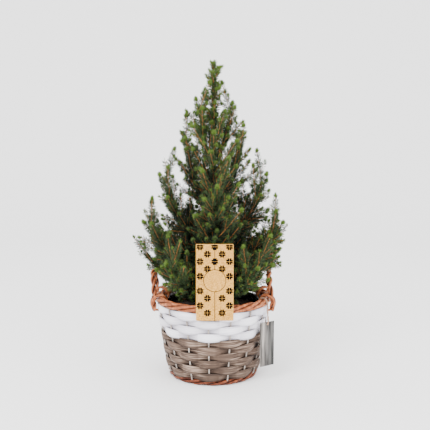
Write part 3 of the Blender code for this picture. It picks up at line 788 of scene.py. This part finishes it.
# %% Stars
STAR_COLUMNS = 5
STAR_ROWS = 10
STAR_STEP = (0.0141, 0.0142)
STAR_REACH = 0.0061
FIRST_STAR_DROP = 0.0052
FIELD_RADIUS = 0.0208
FIELD_HEIGHT = 0.0774
BARE_PLACE = (8, 2)
LINE_WIDTH = 0.0011
PRINT_DEPTH = 0.00008

# A petal is a cube stretched outwards, thinned to the print's depth, leaned over and moved off the middle.
PETAL = Matrix(((0.90, 0, 0.20, 0.62), (0, PRINT_DEPTH / STAR_REACH, 0, 0), (0, 0, 0.56, 0.32), (0, 0, 0, 1)))

ink = grained_finish(
    "ink", 0.9, (700.0,), [(0.35, (0.002, 0.002, 0.002)), (0.70, (0.006, 0.005, 0.005))], gloss=0.0
)


def petal(bm, x, z, bearing, mirror):
    """One petal of a star whose middle is at (x, z), cut off at the card's top and at the bare field."""
    verts = bmesh.ops.create_cube(bm, size=1.0)["verts"]
    turn = Matrix.Rotation(bearing, 4, "Y") @ Matrix.Diagonal((1, 1, mirror, 1)) @ Matrix.Scale(STAR_REACH, 4)
    place = Matrix.Translation((x, -CARD_SIZE[1] - PRINT_DEPTH * 0.4, z))
    bmesh.ops.transform(bm, verts=verts, matrix=place @ turn @ PETAL)
    for vert in verts:
        vert.co.z = min(vert.co.z, CARD_SIZE[2] - LINE_WIDTH)
        away = Vector((vert.co.x, 0, vert.co.z - FIELD_HEIGHT))
        if away.length < FIELD_RADIUS:
            vert.co += away.normalized() * (FIELD_RADIUS - away.length)
    bmesh.ops.transform(bm, verts=verts, matrix=CARD_TURN)


def field_ring(bm):
    """The thin printed ring round the bare field."""
    inner = bmesh.ops.create_circle(bm, segments=72, radius=FIELD_RADIUS)["verts"]
    edges = [edge for edge in bm.edges if edge.verts[0] in inner and edge.verts[1] in inner]
    outer = verts_of(bmesh.ops.extrude_edge_only(bm, edges=edges)["geom"])
    bmesh.ops.scale(bm, verts=outer, vec=[1 + LINE_WIDTH / FIELD_RADIUS] * 3)
    faces = [face for face in bm.faces if len(set(face.verts) & set(inner)) == 2]
    raised = verts_of(bmesh.ops.solidify(bm, geom=faces, thickness=PRINT_DEPTH)["geom"])
    place = Matrix.Translation((0, -CARD_SIZE[1], FIELD_HEIGHT)) @ Matrix.Rotation(math.pi / 2, 4, "X")
    bmesh.ops.transform(bm, verts=list({*inner, *outer, *raised}), matrix=CARD_TURN @ place)


stars_bm = bmesh.new()
for row in range(STAR_ROWS):
    for column in range(STAR_COLUMNS):
        x = (column - (STAR_COLUMNS - 1) / 2) * STAR_STEP[0]
        z = CARD_SIZE[2] - FIRST_STAR_DROP - row * STAR_STEP[1]
        in_field = math.hypot(x, z - FIELD_HEIGHT) < FIELD_RADIUS
        if (row + column) % 2 or in_field or (row, column) == BARE_PLACE:
            continue
        for quarter in range(4):
            petal(stars_bm, x, z, quarter * math.pi / 2, 1)
            petal(stars_bm, x, z, quarter * math.pi / 2, -1)
field_ring(stars_bm)
for low, high in ((0.0, FIELD_HEIGHT - FIELD_RADIUS), (FIELD_HEIGHT + FIELD_RADIUS, CARD_SIZE[2])):
    fold = box(stars_bm, (LINE_WIDTH, PRINT_DEPTH, high - low), (0, -CARD_SIZE[1], (low + high) / 2))
    bmesh.ops.transform(stars_bm, verts=fold, matrix=CARD_TURN)
bmesh.ops.recalc_face_normals(stars_bm, faces=stars_bm.faces)
place_piece("card_stars", mesh_of("card_stars", stars_bm), ink, "kraft", smooth=False)

# %% [markdown]
# ## Wooden tag
# A slim board of grey-washed wood hangs on twine at the basket's side. It is bevelled, with a drilled hole
# near its top; the hole is cut with a Boolean because a round hole through a bevelled board is simplest
# that way.

# %% Tag
TAG_SIZE = (0.034, 0.0020, 0.091)
TAG_PLACE = (0.1090, -0.0645, 0.0785)
TAG_TURN = math.radians(32)
TAG_ROUNDING = 0.0005
TAG_HOLE = 0.0018
TAG_HOLE_DROP = 0.0050

tag_wood, tag_tree, tag_shader = start_finish("tag_face", 0.5)
tag_place = tag_tree.nodes.new("ShaderNodeTexCoord")
tag_parts = tag_tree.nodes.new("ShaderNodeSeparateXYZ")
tag_spread = tag_tree.nodes.new("ShaderNodeMapRange")
tag_spread.inputs["From Min"].default_value = 0.095
tag_spread.inputs["From Max"].default_value = 0.124
tag_tree.links.new(tag_place.outputs["Object"], tag_parts.inputs["Vector"])
tag_tree.links.new(tag_parts.outputs["X"], tag_spread.inputs["Value"])
# Painted light and shade: the board is lighter towards its left edge and darker towards its right.
tag_side_light = shades(
    tag_tree, tag_spread.outputs["Result"],
    [(0.20, (0.85, 0.82, 0.80)), (0.48, (0.40, 0.40, 0.40)), (0.95, (0.30, 0.31, 0.32))],
)
tag_streaks = grain(tag_tree, 1.0, (150, 150, 14), 6.0)
tag_grey = shades(
    tag_tree, tag_streaks,
    [(0.36, (0.07, 0.066, 0.062)), (0.50, (0.23, 0.216, 0.202)), (0.64, (0.44, 0.415, 0.39))],
)
tag_tree.links.new(blended(tag_tree, tag_grey, tag_side_light), tag_shader.inputs["Base Color"])
relief(tag_tree, tag_shader, tag_streaks, 0.0003)

TAG_MATRIX = Matrix.Translation(TAG_PLACE) @ Matrix.Rotation(TAG_TURN, 4, "Z")
tag_bm = bmesh.new()
box(tag_bm, TAG_SIZE)
bevel(tag_bm, tag_bm.edges[:], TAG_ROUNDING, 2)
bmesh.ops.transform(tag_bm, verts=tag_bm.verts, matrix=TAG_MATRIX)
drill_bm = bmesh.new()
bmesh.ops.create_cone(
    drill_bm, cap_ends=True, segments=32, radius1=TAG_HOLE, radius2=TAG_HOLE, depth=0.01,
    matrix=Matrix.Rotation(math.pi / 2, 4, "X"),
)
bmesh.ops.translate(drill_bm, verts=drill_bm.verts, vec=(0, 0, TAG_SIZE[2] / 2 - TAG_HOLE_DROP))
bmesh.ops.transform(drill_bm, verts=drill_bm.verts, matrix=TAG_MATRIX)
drill = add_object("tag_drill", mesh_of("tag_drill", drill_bm))
blank = add_object("tag_blank", mesh_of("tag_board", tag_bm))
drilling = blank.modifiers.new("Hole", "BOOLEAN")
drilling.object = drill
tag_mesh = evaluated_mesh(blank, "tag_board")
bpy.data.objects.remove(drill)
place_piece("tag_board", tag_mesh, tag_wood, "tag_face", "tag", smooth=False)

# %% Twine
TIE_BEARING = math.radians(-27)
TIE_RADIUS = 0.0012
TIE_THREAD = ((-0.0035, 0.0080), (-0.0022, 0.0), (0.0022, 0.0), (0.0045, 0.0040))  # past the hole, up
TIE_TURNS = 9

twine = grained_finish("twine", 0.85, (500.0,), [(0.35, (0.26, 0.14, 0.085)), (0.65, (0.50, 0.33, 0.24))])
hole_middle = Vector(TAG_PLACE) + Vector((0, 0, TAG_SIZE[2] / 2 - TAG_HOLE_DROP))
back = Vector((-math.sin(TAG_TURN), math.cos(TAG_TURN), 0))
outward = polar(1, TIE_BEARING)
over = outward * RIM_RADIUS + Vector((0, 0, RIM_HEIGHT))
reach = RIM_ROD + TIE_RADIUS + GAP
tie_line = [over + round_the_rim(outward, math.radians(swing)) * reach for swing in (120, 90, 60, 30, 0)]
tie_line += [hole_middle + back * depth + Vector((0, 0, rise)) for depth, rise in TIE_THREAD]
finer = []
for low, high in zip(tie_line, tie_line[1:]):
    finer += [low.lerp(high, step / 6) for step in range(6)]
finer.append(tie_line[-1])
twine_rods = twisted_along(finer, TIE_RADIUS * 1.5, TWIST_STRANDS, TIE_TURNS)
place_piece("twine", rods_mesh("twine", twine_rods, resolution=1), twine, "twine", "tag_tie")

# %% [markdown]
# ## How the tree grows
# The solids were grown by a rule with a fixed seed: boughs leave the trunk in tiers and bend upwards, each
# carries a shoot at its tip, and side shoots are tried in turn wherever they stay clear of everything
# already in place. The same rule runs here, so the twigs stand where the solids' shoots stand.

# %% Measures of the tree
TRUNK_FOOT_RADIUS = 0.0065
TRUNK_TIP_RADIUS = 0.0018
TRUNK_TOP = 0.5000
ROOT_FLARE = 0.0050
FLARE_HEIGHT = 0.0120
TREE_TOP = 0.6500
TRUNK_LEAN = 0.0020
WIDEST_REACH = 0.1560
WIDEST_HEIGHT = 0.2800
REACH_BULGE = 0.12
SKIRT_TAPER = 0.7
BOUGH_SHARE = 0.22
BOUGH_RADIUS = 0.0028
SHOULDER_REACH = 0.70
SHOULDER_RISE = 0.28
HELD_BACK = 0.0180
BEARING_PLAY = 5
TIP_PLAY = 0.0100
ROOT_PLAY = 0.0080
LINE_STEPS = 12
STEM_RADIUS = 0.0014
TIERS = (
    (5, 18, 0.162, 0.246),
    (5, 54, 0.205, 0.318),
    (4, 5, 0.260, 0.408),
    (3, 30, 0.335, 0.492),
    (2, 20, 0.430, 0.566),
)
SHOOT_LENGTH = 0.085
SHOOT_CORE = 0.0026
NEEDLE = 0.0125
SIDE_SHOOTS = 5
SHOOT_TRIES = ((0.95, 0.85), (0.80, 0.85), (0.80, 0.55), (0.62, 0.70), (0.55, 0.45))
SHOOT_LIFT = 0.30
SHOOT_MARGIN = 0.0010
NEAR_BOUGH = 0.35  # part of a shoot's length that may lie close to its own bough
NEAR_OWN = 0.45  # part of its length that may lie close to the other shoots of its mass
OWN_SPACING = 0.78
OUTLINE_SLACK = 0.012
HAND_GAP_HEIGHT = 0.1870
HAND_GAP_RADIUS = 0.0180
SEED = 17
print("tiers of boughs:", len(TIERS))

# %% Lines of the boughs
def trunk_point(z):
    share = (z - COMPOST_TOP) / (TREE_TOP - COMPOST_TOP)
    return Vector((TRUNK_LEAN * share, 0.0, z))


def crown_reach(z):
    share = (z - WIDEST_HEIGHT) / (TREE_TOP - WIDEST_HEIGHT)
    if share < 0:
        return WIDEST_REACH * (1 + SKIRT_TAPER * share)
    return WIDEST_REACH * (1 - share) * (1 + REACH_BULGE * math.sin(math.pi * share))


def bend(a, b, c, share):
    return a * (1 - share) ** 2 + b * 2 * share * (1 - share) + c * share ** 2


def bough_lines():
    draw = random.Random(SEED)
    lines = []
    for tier, (count, first, start, end) in enumerate(TIERS):
        for index in range(count):
            bearing = math.radians(first + 360 * index / count + draw.uniform(-BEARING_PLAY, BEARING_PLAY))
            tip_height = end + draw.uniform(-TIP_PLAY, TIP_PLAY)
            reach = crown_reach(tip_height)
            out = polar(1, bearing)
            level_with_card = out.y < 0 and tip_height < CARD_FOOT[1] + CARD_SIZE[2] + SHOOT_LENGTH
            if level_with_card and abs(reach * out.x - CARD_FOOT[0]) < CARD_SIZE[0] / 2 + NEEDLE:
                reach = RIM_RADIUS - HELD_BACK
            root = trunk_point(start + draw.uniform(-ROOT_PLAY, ROOT_PLAY))
            tip = root + out * reach
            tip.z = tip_height
            shoulder = root + out * reach * SHOULDER_REACH
            shoulder.z = root.z + (tip.z - root.z) * SHOULDER_RISE
            points = [bend(root, shoulder, tip, step / LINE_STEPS) for step in range(LINE_STEPS + 1)]
            lines.append((f"{tier + 1}{chr(97 + index)}", points))
    leader = [trunk_point(TRUNK_TOP + (TREE_TOP - TRUNK_TOP) * step / 6) for step in range(7)]
    lines.append(("top", leader))
    return lines


lines = bough_lines()
print("bough lines:", len(lines))

# %% Helpers along a line
def along(points, share):
    spot = share * (len(points) - 1)
    low = min(int(spot), len(points) - 2)
    place = points[low].lerp(points[low + 1], spot - low)
    return place, (points[low + 1] - points[low]).normalized()


def nearest(point, a, b):
    run = b - a
    share = max(0.0, min(1.0, (point - a).dot(run) / run.length_squared))
    return (point - a - run * share).length, share


def clear_of(point, room, rods):
    """Whether a ball of that room round the point stays off every rod, each a line with its radius."""
    return all(
        nearest(point, a, b)[0] > room + radius for line, radius in rods for a, b in zip(line, line[1:])
    )


def square_to(direction, turn):
    """A unit vector square to the direction, turned about it."""
    side = direction.orthogonal().normalized()
    side.rotate(Matrix.Rotation(turn, 3, direction))
    return side


def line_length(points):
    return sum((b - a).length for a, b in zip(points, points[1:]))


print("longest bough:", round(max(line_length(points) for _, points in lines), 3))

# %% Room for a shoot
def needle_reach(share):
    return SHOOT_CORE + NEEDLE * math.sin(math.pi * min(1.0, 0.15 + 0.80 * share)) ** 0.5


def inside_crown(point, room):
    if (point - trunk_point(point.z)).length > crown_reach(point.z) + OUTLINE_SLACK:
        return False
    if point.z < WALL_TOP + 2 * RIM_ROD + room:
        return False
    behind_card = abs(point.x - CARD_FOOT[0]) < CARD_SIZE[0] / 2 + room
    return not (behind_card and point.y < room - RIM_RADIUS and point.z < CARD_FOOT[1] + CARD_SIZE[2] + room)


def fits(own, root, tip, taken, limbs, stems):
    others = [(line, radius) for line, radius, owner in limbs if owner != own]
    others += [(line, STEM_RADIUS) for name, line in stems.items() if name != own]
    mine = [(line, radius) for line, radius, owner in limbs if owner == own]
    for step in range(1, 8):
        share = step / 7
        point = root.lerp(tip, share)
        room = needle_reach(share) + SHOOT_MARGIN
        if not (inside_crown(point, room) and clear_of(point, room, others)):
            return False
        if share > NEAR_BOUGH and not clear_of(point, room, mine):
            return False
        for owner, a, b in taken:
            space, spot = nearest(point, a, b)
            if owner != own and space < room + needle_reach(spot):
                return False
            if owner == own and share > NEAR_OWN and space < OWN_SPACING * (room + needle_reach(spot)):
                return False
    return True


print("needles stand out by", round(needle_reach(0.4), 4))

# %% Shoots
def side_shoot(name, points, round_number, taken, limbs, stems, draw):
    first = 0.04 if name == "top" else BOUGH_SHARE + 0.03
    share = first + (0.90 - first) * (1 - round_number / SIDE_SHOOTS) * draw.uniform(0.9, 1.0)
    root, direction = along(points, share)
    turn = draw.uniform(0, 2 * math.pi)
    for length, spread in SHOOT_TRIES:
        for attempt in range(12):
            side = square_to(direction, turn + attempt * math.radians(30))
            aim = (direction + side * spread + Vector((0, 0, SHOOT_LIFT))).normalized()
            tip = root + aim * length * SHOOT_LENGTH
            if fits(name, root, tip, taken, limbs, stems):
                return root, tip
    return None


def all_shoots(lines, limbs, stems):
    draw = random.Random(SEED + 1)
    taken = []
    for name, points in lines:
        taken.append((name, along(points, 1 - SHOOT_LENGTH / line_length(points))[0], points[-1]))
    for round_number in range(SIDE_SHOOTS):
        for name, points in reversed(lines):
            found = side_shoot(name, points, round_number, taken, limbs, stems, draw)
            if found:
                taken.append((name, *found))
    return taken


def trunk_radius(z):
    share = (z - COMPOST_TOP) / (TRUNK_TOP - COMPOST_TOP)
    flare = ROOT_FLARE * max(0.0, 1 - (z - COMPOST_TOP) / FLARE_HEIGHT)
    return TRUNK_FOOT_RADIUS + (TRUNK_TIP_RADIUS - TRUNK_FOOT_RADIUS) * share + flare


def root_clearance(points):
    run = (points[1] - points[0]).normalized()
    level = math.hypot(run.x, run.y)
    return (0.95 * trunk_radius(points[0].z) + GAP + 1.05 * BOUGH_RADIUS * abs(run.z)) / level


def bare_limb(points):
    root_share = root_clearance(points) / (points[1] - points[0]).length / LINE_STEPS
    return [along(points, root_share + (BOUGH_SHARE - root_share) * step / 3)[0] for step in range(4)]


def stem_of(name, points):
    start = 0.0 if name == "top" else BOUGH_SHARE
    end = 1 - SHOOT_LENGTH / line_length(points) + 0.08
    place, direction = along(points, start)
    rest = [along(points, start + (end - start) * step / 4)[0] for step in range(1, 5)]
    return [place + direction * GAP] + rest


limbs = [([trunk_point(COMPOST_TOP), trunk_point(TRUNK_TOP)], TRUNK_FOOT_RADIUS * 0.8, "trunk")]
for side in (-1, 1):
    limbs.append((handle_line(side), HANDLE_ROD, "handle"))
    ends = [Vector((side * x, 0, HAND_GAP_HEIGHT)) for x in (RIM_RADIUS, RIM_RADIUS + 4 * RIM_ROD)]
    limbs.append((ends, HAND_GAP_RADIUS, "hand"))
for name, points in lines[:-1]:
    limbs.append((bare_limb(points), BOUGH_RADIUS, name))
stems = {name: stem_of(name, points) for name, points in lines}
shoots = all_shoots(lines, limbs, stems)
print("shoots:", len(shoots))

# %% [markdown]
# ## Bark
# Trunk and boughs have orange-brown bark with fine scales. A tube from a curve gives the taper, then each
# vertex is pushed along its normal by noise that is stretched along the stem, which is real relief that
# also shows in outline.

# %% Trunk and boughs
BARK_DEPTH = 0.0007
BARK_SCALE = (330, 330, 110)
TRUNK_STEPS = 110
BOUGH_STEPS = 34

bark = grained_finish(
    "bark", 0.85, (260.0, (1, 1, 0.35), 6.0),
    [(0.30, (0.022, 0.009, 0.004)), (0.52, (0.10, 0.032, 0.010)), (0.75, (0.22, 0.085, 0.030))], 0.0010,
)
heights = np.linspace(COMPOST_TOP - 0.004, TRUNK_TOP, TRUNK_STEPS)
limb_rods = [([trunk_point(z) for z in heights], [trunk_radius(max(z, COMPOST_TOP)) for z in heights])]
for name, points in lines[:-1]:
    shares = np.linspace(0.0, 1 - 0.8 * SHOOT_LENGTH / line_length(points), BOUGH_STEPS)
    thick, thin = BOUGH_RADIUS * 1.1, STEM_RADIUS * 0.8
    widths = [thick + (thin - thick) * share ** 0.7 for share in shares]
    limb_rods.append(([along(points, share)[0] for share in shares], widths))
bark_mesh = rods_mesh("bark_limbs", limb_rods, resolution=4)
bark_bm = bmesh.new()
bark_bm.from_mesh(bark_mesh)
bark_bm.normal_update()
for vert in bark_bm.verts:
    spot = vert.co * Vector(BARK_SCALE)
    stem = trunk_radius(min(max(vert.co.z, COMPOST_TOP), TRUNK_TOP)) / TRUNK_FOOT_RADIUS
    vert.co += vert.normal * noise.noise(spot) * BARK_DEPTH * min(1.0, stem)
bark_bm.to_mesh(bark_mesh)
bark_bm.free()
bough_nodes = [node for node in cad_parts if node.startswith("bough_")]
place_piece("bark_limbs", bark_mesh, bark, "bark", "trunk", *bough_nodes)

# %% [markdown]
# ## Twigs
# Every shoot of the solids becomes a twig with finer twigs on it, and the boughs themselves carry more of
# them. The finer twigs leave at the golden angle, as buds do, and lean forwards and upwards. Where one
# would leave the crown's outline it is made shorter or left out, so the reach stays that of the solids.

# %% Twig lines
TWIG_RADIUS = 0.0009
TUFT = 0.008
HIGH_TIER = 0.4000
BANK_START = 0.0550  # from here outwards the twigs keep clear of the rim, higher and higher
BANK_SLOPE = 0.75
GOLDEN_ANGLE = math.radians(137.5)
TWIG_SIZES = (0.8, 1.1)
TWIG_SPACINGS = (0.85, 1.15)
TWIG_CUTS = (1.0, 0.75, 0.5)
TWIG_ROOM = 0.008
LOW, HIGH = Vector(cad_box[0]), Vector(cad_box[1])
GRIPS = [(line, radius) for line, radius, owner in limbs if owner in ("handle", "hand")]


def bowed(root, tip, draw, bow=0.03):
    """A twig's line from root to tip with a slight bow."""
    length = (tip - root).length
    push = Vector([draw.uniform(-1, 1) for _ in range(3)]) * bow * length
    middle = root.lerp(tip, 0.5) + push + Vector((0, 0, -0.02 * length))
    return [bend(root, middle, tip, step / 5) for step in range(6)]


def within_reach(point, room):
    if not all(LOW[axis] + room < point[axis] < HIGH[axis] - room for axis in range(3)):
        return False
    out = math.hypot(point.x, point.y)
    bank = COMPOST_TOP + room + BANK_SLOPE * max(0.0, out - BANK_START)
    if point.z < bank or not clear_of(point, room, GRIPS):
        return False
    return out < RIM_RADIUS - WRAP_RADIUS - room or inside_crown(point, room)


def fine_twigs(points, first, last, step, length, draw, spread=0.85, lift=0.22):
    """Finer twigs that leave a line, as lists of points."""
    found = []
    total = line_length(points)
    share = first
    turn = draw.uniform(0, 2 * math.pi)
    while share < last:
        root, direction = along(points, share)
        turn += GOLDEN_ANGLE
        side = square_to(direction, turn)
        aim = (direction * 0.9 + side * spread + Vector((0, 0, lift))).normalized()
        size = length * draw.uniform(*TWIG_SIZES) * (1 - 0.45 * (share - first) / (last - first))
        for part in TWIG_CUTS:
            tip = root + aim * size * part
            if within_reach(tip, TWIG_ROOM):
                found.append(bowed(root, tip, draw))
                break
        share += step / total * draw.uniform(*TWIG_SPACINGS)
    return found


def stretch_of_trunk(low, high, count):
    return [trunk_point(z) for z in np.linspace(low, high, count)]


# After its line, each call gives the shares of the line where twigs start and end, their spacing and length.
draw = random.Random(SEED + 7)
main_twigs = [bowed(root, tip, draw, 0.015) for name, root, tip in shoots]
bough_twigs = []
for name, points in lines:
    if name == "top":
        bough_twigs += fine_twigs(points, 0.05, 0.80, 0.015, 0.045, draw, 0.60)
    else:
        spacing = 0.015 if points[-1].z > HIGH_TIER else 0.0056
        bough_twigs += fine_twigs(points, 0.05, 0.72, spacing, 0.082, draw, 0.62)
trunk_line = stretch_of_trunk(COMPOST_TOP + 0.02, HIGH_TIER, 30)
bough_twigs += fine_twigs(trunk_line, 0.0, 1.0, 0.0030, 0.092, draw, 0.95)
upper_trunk = stretch_of_trunk(HIGH_TIER, TRUNK_TOP + 0.03, 12)
bough_twigs += fine_twigs(upper_trunk, 0.0, 1.0, 0.010, 0.065, draw, 0.75)
for name, points in lines[:-1]:
    if points[-1].z < HIGH_TIER + 0.05:
        bough_twigs += fine_twigs(points, 0.12, 0.62, 0.0130, 0.070, draw, 1.6, 0.35)
lower_trunk = stretch_of_trunk(COMPOST_TOP + 0.012, WALL_TOP + 0.06, 8)
bough_twigs += fine_twigs(lower_trunk, 0.0, 1.0, 0.0016, 0.095, draw, 2.4, 0.0)
side_twigs = []
spurs = fine_twigs(lines[-1][1], 0.35, 0.88, 0.0056, 0.026, draw, 0.65)
for twig in main_twigs + bough_twigs:
    if twig[0].z > HIGH_TIER:
        spurs += fine_twigs(twig, 0.15, 0.85, 0.0160, 0.021, draw, 0.75)
    else:
        side_twigs += fine_twigs(twig, 0.15, 0.62, 0.0140, 0.034, draw, 0.52)
print("twigs:", len(main_twigs), len(bough_twigs), "finer twigs:", len(side_twigs), "spurs:", len(spurs))

# %% Twig wood
twig_wood = grained_finish(
    "twig_bark", 0.7, (240.0,), [(0.32, (0.15, 0.052, 0.014)), (0.68, (0.40, 0.175, 0.055))]
)


def tapered(path, thick, thin):
    """A twig's rod; its two ends are given as shares of the plain twig's radius."""
    return path, list(np.linspace(TWIG_RADIUS * thick, TWIG_RADIUS * thin, len(path)))


leader_line = stretch_of_trunk(TRUNK_TOP - 0.01, TREE_TOP - 0.012, 12)
twig_rods = [tapered(leader_line, 1.2 * STEM_RADIUS / TWIG_RADIUS, 0.8)]
twig_rods += [tapered(path, 1.2, 0.6) for path in main_twigs]
twig_rods += [tapered(path, 1.1, 0.6) for path in bough_twigs]
twig_rods += [tapered(path, 0.6, 0.4) for path in side_twigs + spurs]
place_piece("twig_wood", rods_mesh("twig_wood", twig_rods, resolution=0), twig_wood, "bark")

# %% [markdown]
# ## Needles
# Spruce needles stand all round the twig like a bottle brush and lean forwards. Each one here is a slim
# double cone with six faces, up to 12 mm long and a little wider than a real one, because fewer of them
# fill the crown. They are sorted by where they grow: darker inside the crown and low down as painted shade,
# lighter further out and higher up as painted light, and bright yellow-green on this year's tips, which is
# the new growth's own colour. Each sort has its own plain colour.

# %% Needles on a line
MAIN_NEEDLES = (1900, 2300)  # on a metre of twig, high in the crown and below
BOUGH_NEEDLES = (1500, 1700)
SIDE_NEEDLES = 1500
SPUR_NEEDLES = 1400
LIMB_NEEDLES = 2000
TIP_SPAN = 0.003
NEEDLE_SHARE = 0.92  # of the reach that the solids leave for a needle
NEEDLE_LENGTHS = (0.85, 1.05)
TUFT_NEEDLE = 0.72
TUFT_DEPTH = 0.0045


def needles_on(points, per_metre, draw, size=1.0, first=0.0):
    """Bases, directions, lengths and distances from the tip of the needles on one line."""
    total = line_length(points)
    count = max(6, int(total * (1 - first) * per_metre))
    shares = np.sort(draw.uniform(first, 1.0, count))
    knots = np.array([point[:] for point in points])
    spots = shares * (len(knots) - 1)
    low = np.minimum(spots.astype(int), len(knots) - 2)
    runs = knots[low + 1] - knots[low]
    places = knots[low] + runs * (spots - low)[:, None]
    runs = unit(runs)
    sides = turned_about(runs, np.arange(count) * GOLDEN_ANGLE + draw.normal(0, 0.25, count))
    from_tip = (1 - shares) * total
    lean = 0.50 + 0.55 * np.clip(1 - from_tip / TUFT, 0, 1) + draw.normal(0, 0.12, count)
    aims = runs * lean[:, None] + sides * 0.9
    ends = from_tip < TIP_SPAN
    aims[ends] = runs[ends] + sides[ends] * 0.5
    swell = np.sin(math.pi * np.clip(0.15 + 0.8 * shares, 0, 1))
    lengths = NEEDLE * NEEDLE_SHARE * size * (0.75 + 0.25 * swell)
    lengths *= draw.uniform(*NEEDLE_LENGTHS, count)
    return places, unit(aims), lengths, from_tip


def tuft_on(points, count, draw):
    """The close bunch of short needles at a twig's end."""
    end = np.array(points[-1][:])
    run = end - np.array(points[-2][:])
    run /= np.linalg.norm(run)
    sides = turned_about(run[None, :], np.arange(count) * GOLDEN_ANGLE)
    aims = unit(run + sides * np.linspace(0.10, 1.05, count)[:, None])
    places = end - run * np.linspace(0.0, TUFT_DEPTH, count)[:, None]
    lengths = NEEDLE * TUFT_NEEDLE * draw.uniform(0.85, 1.1, count)
    return places, aims, lengths, np.zeros(count)


def by_height(path, choices):
    return choices[0] if path[0].z > HIGH_TIER else choices[1]


print("needles on a metre of twig:", MAIN_NEEDLES, BOUGH_NEEDLES, SIDE_NEEDLES, SPUR_NEEDLES)

# %% Needle places
BOX_MARGINS = (0.0005, 0.0002)
CARD_MARGINS = (0.004, 0.003)  # beside the card and above it

draw = np.random.default_rng(SEED)
leader = stretch_of_trunk(TRUNK_TOP - 0.01, TREE_TOP - NEEDLE * 0.8, 12)
limb_lines = [points for name, points in lines[:-1]]
batches = [needles_on(leader, MAIN_NEEDLES[1], draw)]
batches += [needles_on(path, by_height(path, MAIN_NEEDLES), draw) for path in main_twigs]
batches += [needles_on(path, by_height(path, BOUGH_NEEDLES), draw) for path in bough_twigs]
batches += [needles_on(path, SIDE_NEEDLES, draw, 0.90) for path in side_twigs]
batches += [needles_on(path, SPUR_NEEDLES, draw, 0.80) for path in spurs]
batches += [needles_on(path, LIMB_NEEDLES, draw, 1.0, 0.15) for path in limb_lines]
for paths, count in ((main_twigs + [leader] + limb_lines, 26), (bough_twigs, 14), (spurs, 9)):
    batches += [tuft_on(path, count, draw) for path in paths]
places, aims, lengths, from_tip = (np.concatenate(column) for column in zip(*batches))
tips = places + aims * lengths[:, None]
inside = np.all((tips > np.array(LOW) + BOX_MARGINS[0]) & (tips < np.array(HIGH) - BOX_MARGINS[1]), axis=1)
beside_card = np.abs(tips[:, 0] - CARD_FOOT[0]) >= CARD_SIZE[0] / 2 + CARD_MARGINS[0]
above_card = tips[:, 2] >= CARD_FOOT[1] + CARD_SIZE[2] + CARD_MARGINS[1]
keep = inside & (beside_card | above_card | (tips[:, 1] >= -RIM_RADIUS))
print("needles:", len(places), "kept:", keep.sum(), "mean length:", lengths[keep].mean().round(4))
places, aims, lengths, from_tip = places[keep], aims[keep], lengths[keep], from_tip[keep]

# %% Needle pieces
# The darkest colour is painted shade inside the crown. The lighter ones are painted light further out and
# higher up, and the new growth's own colour at the tips.
NEEDLE_COLOURS = {
    "needles_in_shade": (0.007, 0.014, 0.005),
    "needles_mid": (0.027, 0.048, 0.015),
    "needles_fresh": (0.047, 0.080, 0.015),
    "needles_tip": (0.072, 0.124, 0.014),
}
TONE_CUTS = (-9, 0.42, 0.80, 1.05, 9)
SHADED_DEPTH = 0.10
MOST_IN_PIECE = 30000
NEEDLE_HALF_WIDTH = 0.00074
THICKEST = 0.48

needle_bm = bmesh.new()
bmesh.ops.create_uvsphere(needle_bm, u_segments=3, v_segments=2, radius=1.0)
for vert in needle_bm.verts:
    vert.co.z = 0.5 + 0.5 * vert.co.z
    if 0.2 < vert.co.z < 0.8:
        vert.co.z = THICKEST
needle_shape = shape_arrays(needle_bm)
reach_here = np.array([crown_reach(z) for z in places[:, 2]])
depth = np.clip(reach_here - np.hypot(places[:, 0], places[:, 1]), 0, SHADED_DEPTH) / SHADED_DEPTH
height_share = (places[:, 2] - COMPOST_TOP) / (TREE_TOP - COMPOST_TOP)
newness = np.clip(1 - from_tip / TUFT, 0, 1)
# Needles are brighter the further out, the higher and the newer they are. Further out and higher is painted
# light and shade; newer is the new growth's own colour.
tone = 0.60 * (1 - depth) + 0.20 * height_share + 0.60 * newness + draw.normal(0, 0.10, len(places))
needle_nodes = [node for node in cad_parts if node.startswith("needles_")]
for (shade, colour), low, high in zip(NEEDLE_COLOURS.items(), TONE_CUTS, TONE_CUTS[1:]):
    finish, tree, shader = start_finish(shade, 0.5)
    shader.inputs["Base Color"].default_value = (*colour, 1.0)
    relief(tree, shader, grain(tree, 900.0), 0.0001)
    chosen = np.flatnonzero((tone >= low) & (tone < high))
    for part, group in enumerate(np.array_split(chosen, max(1, math.ceil(len(chosen) / MOST_IN_PIECE)))):
        mesh = joined_copies(
            f"{shade}_{part + 1}", needle_shape, places[group], aims[group], lengths[group],
            NEEDLE_HALF_WIDTH * (1 + 0.20 * newness[group]), draw.uniform(*ROLLS, len(group)),
        )
        nodes = needle_nodes if shade == "needles_in_shade" and part == 0 else []
        place_piece(f"{shade}_{part + 1}", mesh, finish, "needles", *nodes)

# %% [markdown]
# ## Sizes
# Twigs and needles are kept inside the solids' box, and that box is printed again here. The dressed
# model has to stay inside the solids' box.

# %% Sizes and finish
print("solids:", cad_box)
